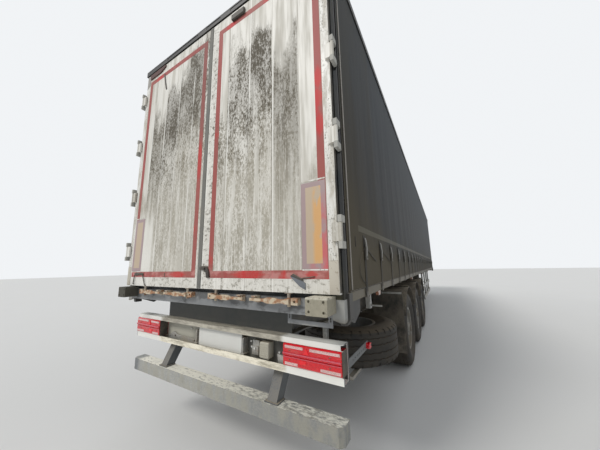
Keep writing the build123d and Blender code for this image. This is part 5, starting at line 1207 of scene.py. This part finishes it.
band_path = ((-1.2445, 1.640), (-1.2445, 1.560), (-1.2435, 1.480), (-1.2425, 1.400), (-1.2425, 1.318))
band = start_band([(strap_x - 0.0225, y, z) for y, z in band_path], (0.045, 0, 0), 0.0018)
ear = start_box((strap_x - 0.030, -1.2420, 1.652), (strap_x + 0.030, -1.2398, 1.742), 0.0006, 1)
at_straps(join([band, ear]), "strap_webbing", "strap_webbing", ("strap_buckles",))
hook = start_upright_plate(
    strap_x - 0.021,
    ((-1.2412, 1.322), (-1.2448, 1.322), (-1.2448, 1.2835), (-1.2130, 1.2835), (-1.2130, 1.2888),
     (-1.2412, 1.2888)), 0.042,
)
at_straps(hook, "strap_hooks", "strap_buckle_steel")
buckle = start_box((strap_x - 0.024, -1.2575, 1.556), (strap_x + 0.024, -1.2460, 1.650))
choose_faces(buckle, lambda middle, facing: facing.y < -0.9)
bpy.ops.mesh.inset(thickness=0.008, depth=-0.004)
leave_edit()
roller = start_rod((strap_x - 0.026, -1.2525, 1.562), (strap_x + 0.026, -1.2525, 1.562), 0.0065, 8)
at_straps(join([buckle, roller]), "strap_buckle_bodies", "strap_buckle_steel")
lever = start_upright_plate(
    strap_x - 0.017,
    ((-1.2505, 1.585), (-1.2570, 1.585), (-1.2612, 1.640), (-1.2560, 1.702), (-1.2505, 1.722),
     (-1.2485, 1.700), (-1.2545, 1.640)), 0.034,
)
at_straps(lever, "strap_levers", "buckle_lever_zinc")

# The loose ends of the first straps on the right side: their line along X from the doors and Z, and width
for name, width, path in (
    ("strap_tail_first", (0, 0, 0.012),
     ((0.530, 1.640), (0.590, 1.628), (0.655, 1.603), (0.760, 1.566), (0.866, 1.539))),
    ("strap_tail_second", (0, 0, 0.012),
     ((1.060, 1.640), (1.170, 1.634), (1.309, 1.602), (1.430, 1.562), (1.548, 1.533))),
    ("strap_tail_curled", (0.006, 0, 0.004),
     ((0.500, 1.640), (0.440, 1.622), (0.398, 1.577), (0.362, 1.540), (0.344, 1.509), (0.350, 1.465),
      (0.380, 1.425), (0.430, 1.390), (0.505, 1.367))),
):
    tail = start_band([(door_x + x, -1.2462, z) for x, z in path], width, 0.002, rounds=2)
    settle(tail, name, "strap_webbing", angle=60)
slit = start_box((door_x + 0.294, -1.2410, 1.642), (door_x + 0.306, -1.2385, 1.716), 0.001, 1)
settle(slit, "curtain_slit_right", "strap_webbing")

# Roof cover: one sheet over the bows, slack between them
low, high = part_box("roof_cover")
bow_low, bow_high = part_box("roof_bows")
first_bow, last_bow, bow_bays = bow_low.x + 0.02, bow_high.x - 0.02, 19


def lay_roof(along, sideways):
    x = low.x + (along + 0.5) * (high.x - low.x)
    y = 2 * sideways * high.y
    bay = 0.5 - 0.5 * cos(2 * pi * (x - first_bow) / ((last_bow - first_bow) / bow_bays))
    if not first_bow < x < last_bow:
        bay = bay * 0.4
    crown = 1 - (y / high.y) ** 2
    wrinkle = 0.0006 * sin(x * 31 + 3 * sin(y * 4)) * crown * bay
    return x, y, 3.9888 + 0.011 * crown - 0.0052 * bay * crown ** 0.6 + wrinkle


cover = make_cloth("roof_cover_cloth", "coated_roof_fabric", 322, 0.0016, lay_roof, ("roof_cover",))


# Wheel nuts on washers, and a turned cap over each hub
def dress_wheel(wheel, side, centre):
    def spot(reach, radius, turn=0.0):
        """A point on the wheel: how far out from its middle, how far from its axis and how far round."""
        return centre[0] + radius * cos(turn), centre[1] + side * reach, centre[2] + radius * sin(turn)

    def ring(count, circle, rods, shift=0.0):
        """Rods round the hub: where each starts and ends outward, its radius and its sides."""
        return [
            start_rod(spot(start, circle, turn), spot(end, circle, turn), radius, sides)
            for turn in (2 * pi * (step + shift) / count for step in range(count))
            for start, end, radius, sides in rods
        ]

    washer, nut, stud = (0.1215, 0.1245, 0.0205, 16), (0.1240, 0.1440, 0.0165, 6), (0.143, 0.152, 0.0105, 10)
    nuts = soften(join(ring(10, 0.1145, (washer, nut, stud))), 0.0012, 1)
    settle(nuts, f"wheel_nuts_{wheel}", "weathered_galvanised", f"wheel_{wheel}")
    profile = (
        (0.1735, 0.0575), (0.1790, 0.0575), (0.1805, 0.0555), (0.1808, 0.0490), (0.1795, 0.0465),
        (0.1800, 0.0440), (0.1860, 0.0380), (0.1885, 0.0250), (0.1890, 0.0),
    )
    cap = start_turned([spot(*corner) for corner in profile], centre, (0, side, 0), 48)
    screws = ring(6, 0.0522, [(0.1800, 0.1838, 0.0036, 6)], 0.5)
    settle(join([cap] + screws), f"hub_cap_{wheel}", "axle_paint", f"wheel_{wheel}")


for wheel, side, centre in WHEELS:
    dress_wheel(wheel, side, centre)

# The spare: the same tyre lying flat, on a rim of its own
spare_low, spare_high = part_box("spare_wheel")
spare_centre = (spare_low + spare_high) / 2
make_tyre("treaded_spare_tyre", spare_centre, (0, 0, -1), "trailer", ("spare_wheel",))
rim_section = (
    (0.158, 0.276), (0.158, 0.3060), (0.1500, 0.3060), (0.1500, 0.2864), (-0.1500, 0.2864), (-0.1500, 0.3060),
    (-0.158, 0.3060), (-0.158, 0.276), (0.108, 0.276), (0.108, 0.262), (0.095, 0.215), (0.112, 0.150),
    (0.112, 0.090), (0.122, 0.090), (0.122, 0.150), (0.105, 0.215), (0.118, 0.262), (0.118, 0.276),
    (0.158, 0.276),
)
rim_line = [spare_centre + Vector((radius, 0, -reach)) for reach, radius in rim_section]
spare_rim = soften(start_turned(rim_line, spare_centre, (0, 0, 1), 96), 0.002)
settle(spare_rim, "spare_rim", "wheel_paint")

# Ribs down the rear mudflaps, and the clamp strip that holds each at its top
flap_x = -4.6365
ribs = [
    start_box((flap_x - 0.0027, 0.846 + 0.0225 * step, 0.392), (flap_x, 0.852 + 0.0225 * step, 1.120))
    for step in range(17)
]
settle(both_sides(soften(join(ribs), 0.0008, 1)), "flap_ribs", "black_plastic")
strip = start_box((flap_x - 0.0065, 0.838, 1.124), (flap_x, 1.222, 1.156), 0.0015)
bolts = [
    start_rod((flap_x - 0.0060, y, 1.140), (flap_x - 0.0115, y, 1.140), 0.0075, 6)
    for y in (0.870 + 0.080 * step for step in range(5))
]
settle(both_sides(join([strip] + bolts)), "flap_strips", "weathered_galvanised")

# Front wall: rows of rivets along its edges, down every third rib, and along its top and bottom
wall_low, wall_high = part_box("front_wall")
corner_post, rib_count, row_count, column_count = 0.110, 14, 26, 25
third_rib = 3 * 2 * (wall_high.y - corner_post) / rib_count
rivet = start_rod((wall_high.x - 0.0005, 0, 0), (wall_high.x + 0.0022, 0, 0), 0.0058, 10, 0.0040)
spots = []
for row in range(row_count):
    z = wall_low.z + 0.06 + (wall_high.z - wall_low.z - 0.12) * row / (row_count - 1)
    spots += [(0, y, z) for y in (wall_low.y + 0.035, -third_rib, 0, third_rib, wall_high.y - 0.035)]
for column in range(1, column_count - 1):
    y = wall_low.y + 0.035 + (wall_high.y - wall_low.y - 0.07) * column / (column_count - 1)
    spots += [(0, y, z) for z in (wall_low.z + 0.03, wall_high.z - 0.03)]
settle(repeat(rivet, spots, keep=False), "front_wall_rivets", "white_front_paint")

# Coupling panel: a coloured ring round each air coupling, a hinged black lid on each electrical socket
panel_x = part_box("coupling_panel")[1].x
socket_z = 1.248
ring_profile = (
    (-0.0120, 0.0362), (-0.0030, 0.0362), (-0.0012, 0.0345), (-0.0012, 0.0250), (-0.0060, 0.0225),
    (-0.0070, 0.0),
)
for colour, y in (("red", -0.170), ("yellow", -0.060)):
    ring_line = [(panel_x + back, y + radius, socket_z) for back, radius in ring_profile]
    ring = start_turned(ring_line, (panel_x, y, socket_z), (1, 0, 0), 40)
    lug = start_box(
        (panel_x - 0.012, y - 0.007, socket_z + 0.030), (panel_x - 0.002, y + 0.007, socket_z + 0.047), 0.002,
    )
    settle(join([ring, lug]), f"coupling_ring_{colour}", f"{colour}_coupling_cap")
lids = []
for y in (0.060, 0.170):
    lid = start_rod((panel_x - 0.0115, y, socket_z), (panel_x - 0.0035, y, socket_z), 0.0300, 32)
    hinge_x, hinge_z = panel_x - 0.010, socket_z + 0.033
    hinge = start_rod((hinge_x, y - 0.016, hinge_z), (hinge_x, y + 0.016, hinge_z), 0.005, 12)
    tab_low = (panel_x - 0.0110, y - 0.008, socket_z - 0.041)
    tab = start_box(tab_low, (panel_x - 0.0050, y + 0.008, socket_z - 0.026), 0.0012)
    lids += [soften(lid, 0.002, 3), hinge, tab]
settle(join(lids), "socket_lids", "black_plastic")


# The studio: a pale floor, an even sky and one large soft lamp from behind and to the left
def make_studio():
    bpy.ops.mesh.primitive_plane_add(size=160, location=(0, 0, -0.001))
    ground = bpy.context.object
    ground.name = "studio_floor"
    ground.data.materials.append(FINISHES["pale_studio_floor"][0])
    sky = Graph(bpy.data.worlds.new("studio_sky"))
    bpy.context.scene.world = sky.owner
    seen = sky.add("ShaderNodeLightPath", output="Is Camera Ray")
    seen = seen.most(Value(sky, seen.socket.node.outputs["Is Glossy Ray"]))
    soft, backdrop = [
        sky.add("ShaderNodeBackground", {}, {"Color": (*tone, 1), "Strength": strength})
        for tone, strength in (((0.93, 0.96, 1.0), 0.62), ((0.88, 0.90, 0.92), 1.0))
    ]
    sky.close("ShaderNodeOutputWorld", sky.add("ShaderNodeMixShader", {}, {0: seen, 1: soft, 2: backdrop}))
    sun = bpy.data.lights.new("soft_key", "SUN")
    sun.energy = 1.6
    sun.angle = radians(18)
    sun.color = (1.0, 0.975, 0.94)
    lamp = bpy.data.objects.new("soft_key", sun)
    lamp.rotation_euler = Vector((1.0, -0.42, -0.95)).to_track_quat("-Z", "Y").to_euler()
    bpy.context.collection.objects.link(lamp)


make_studio()
bpy.context.scene.view_settings.view_transform = "Standard"
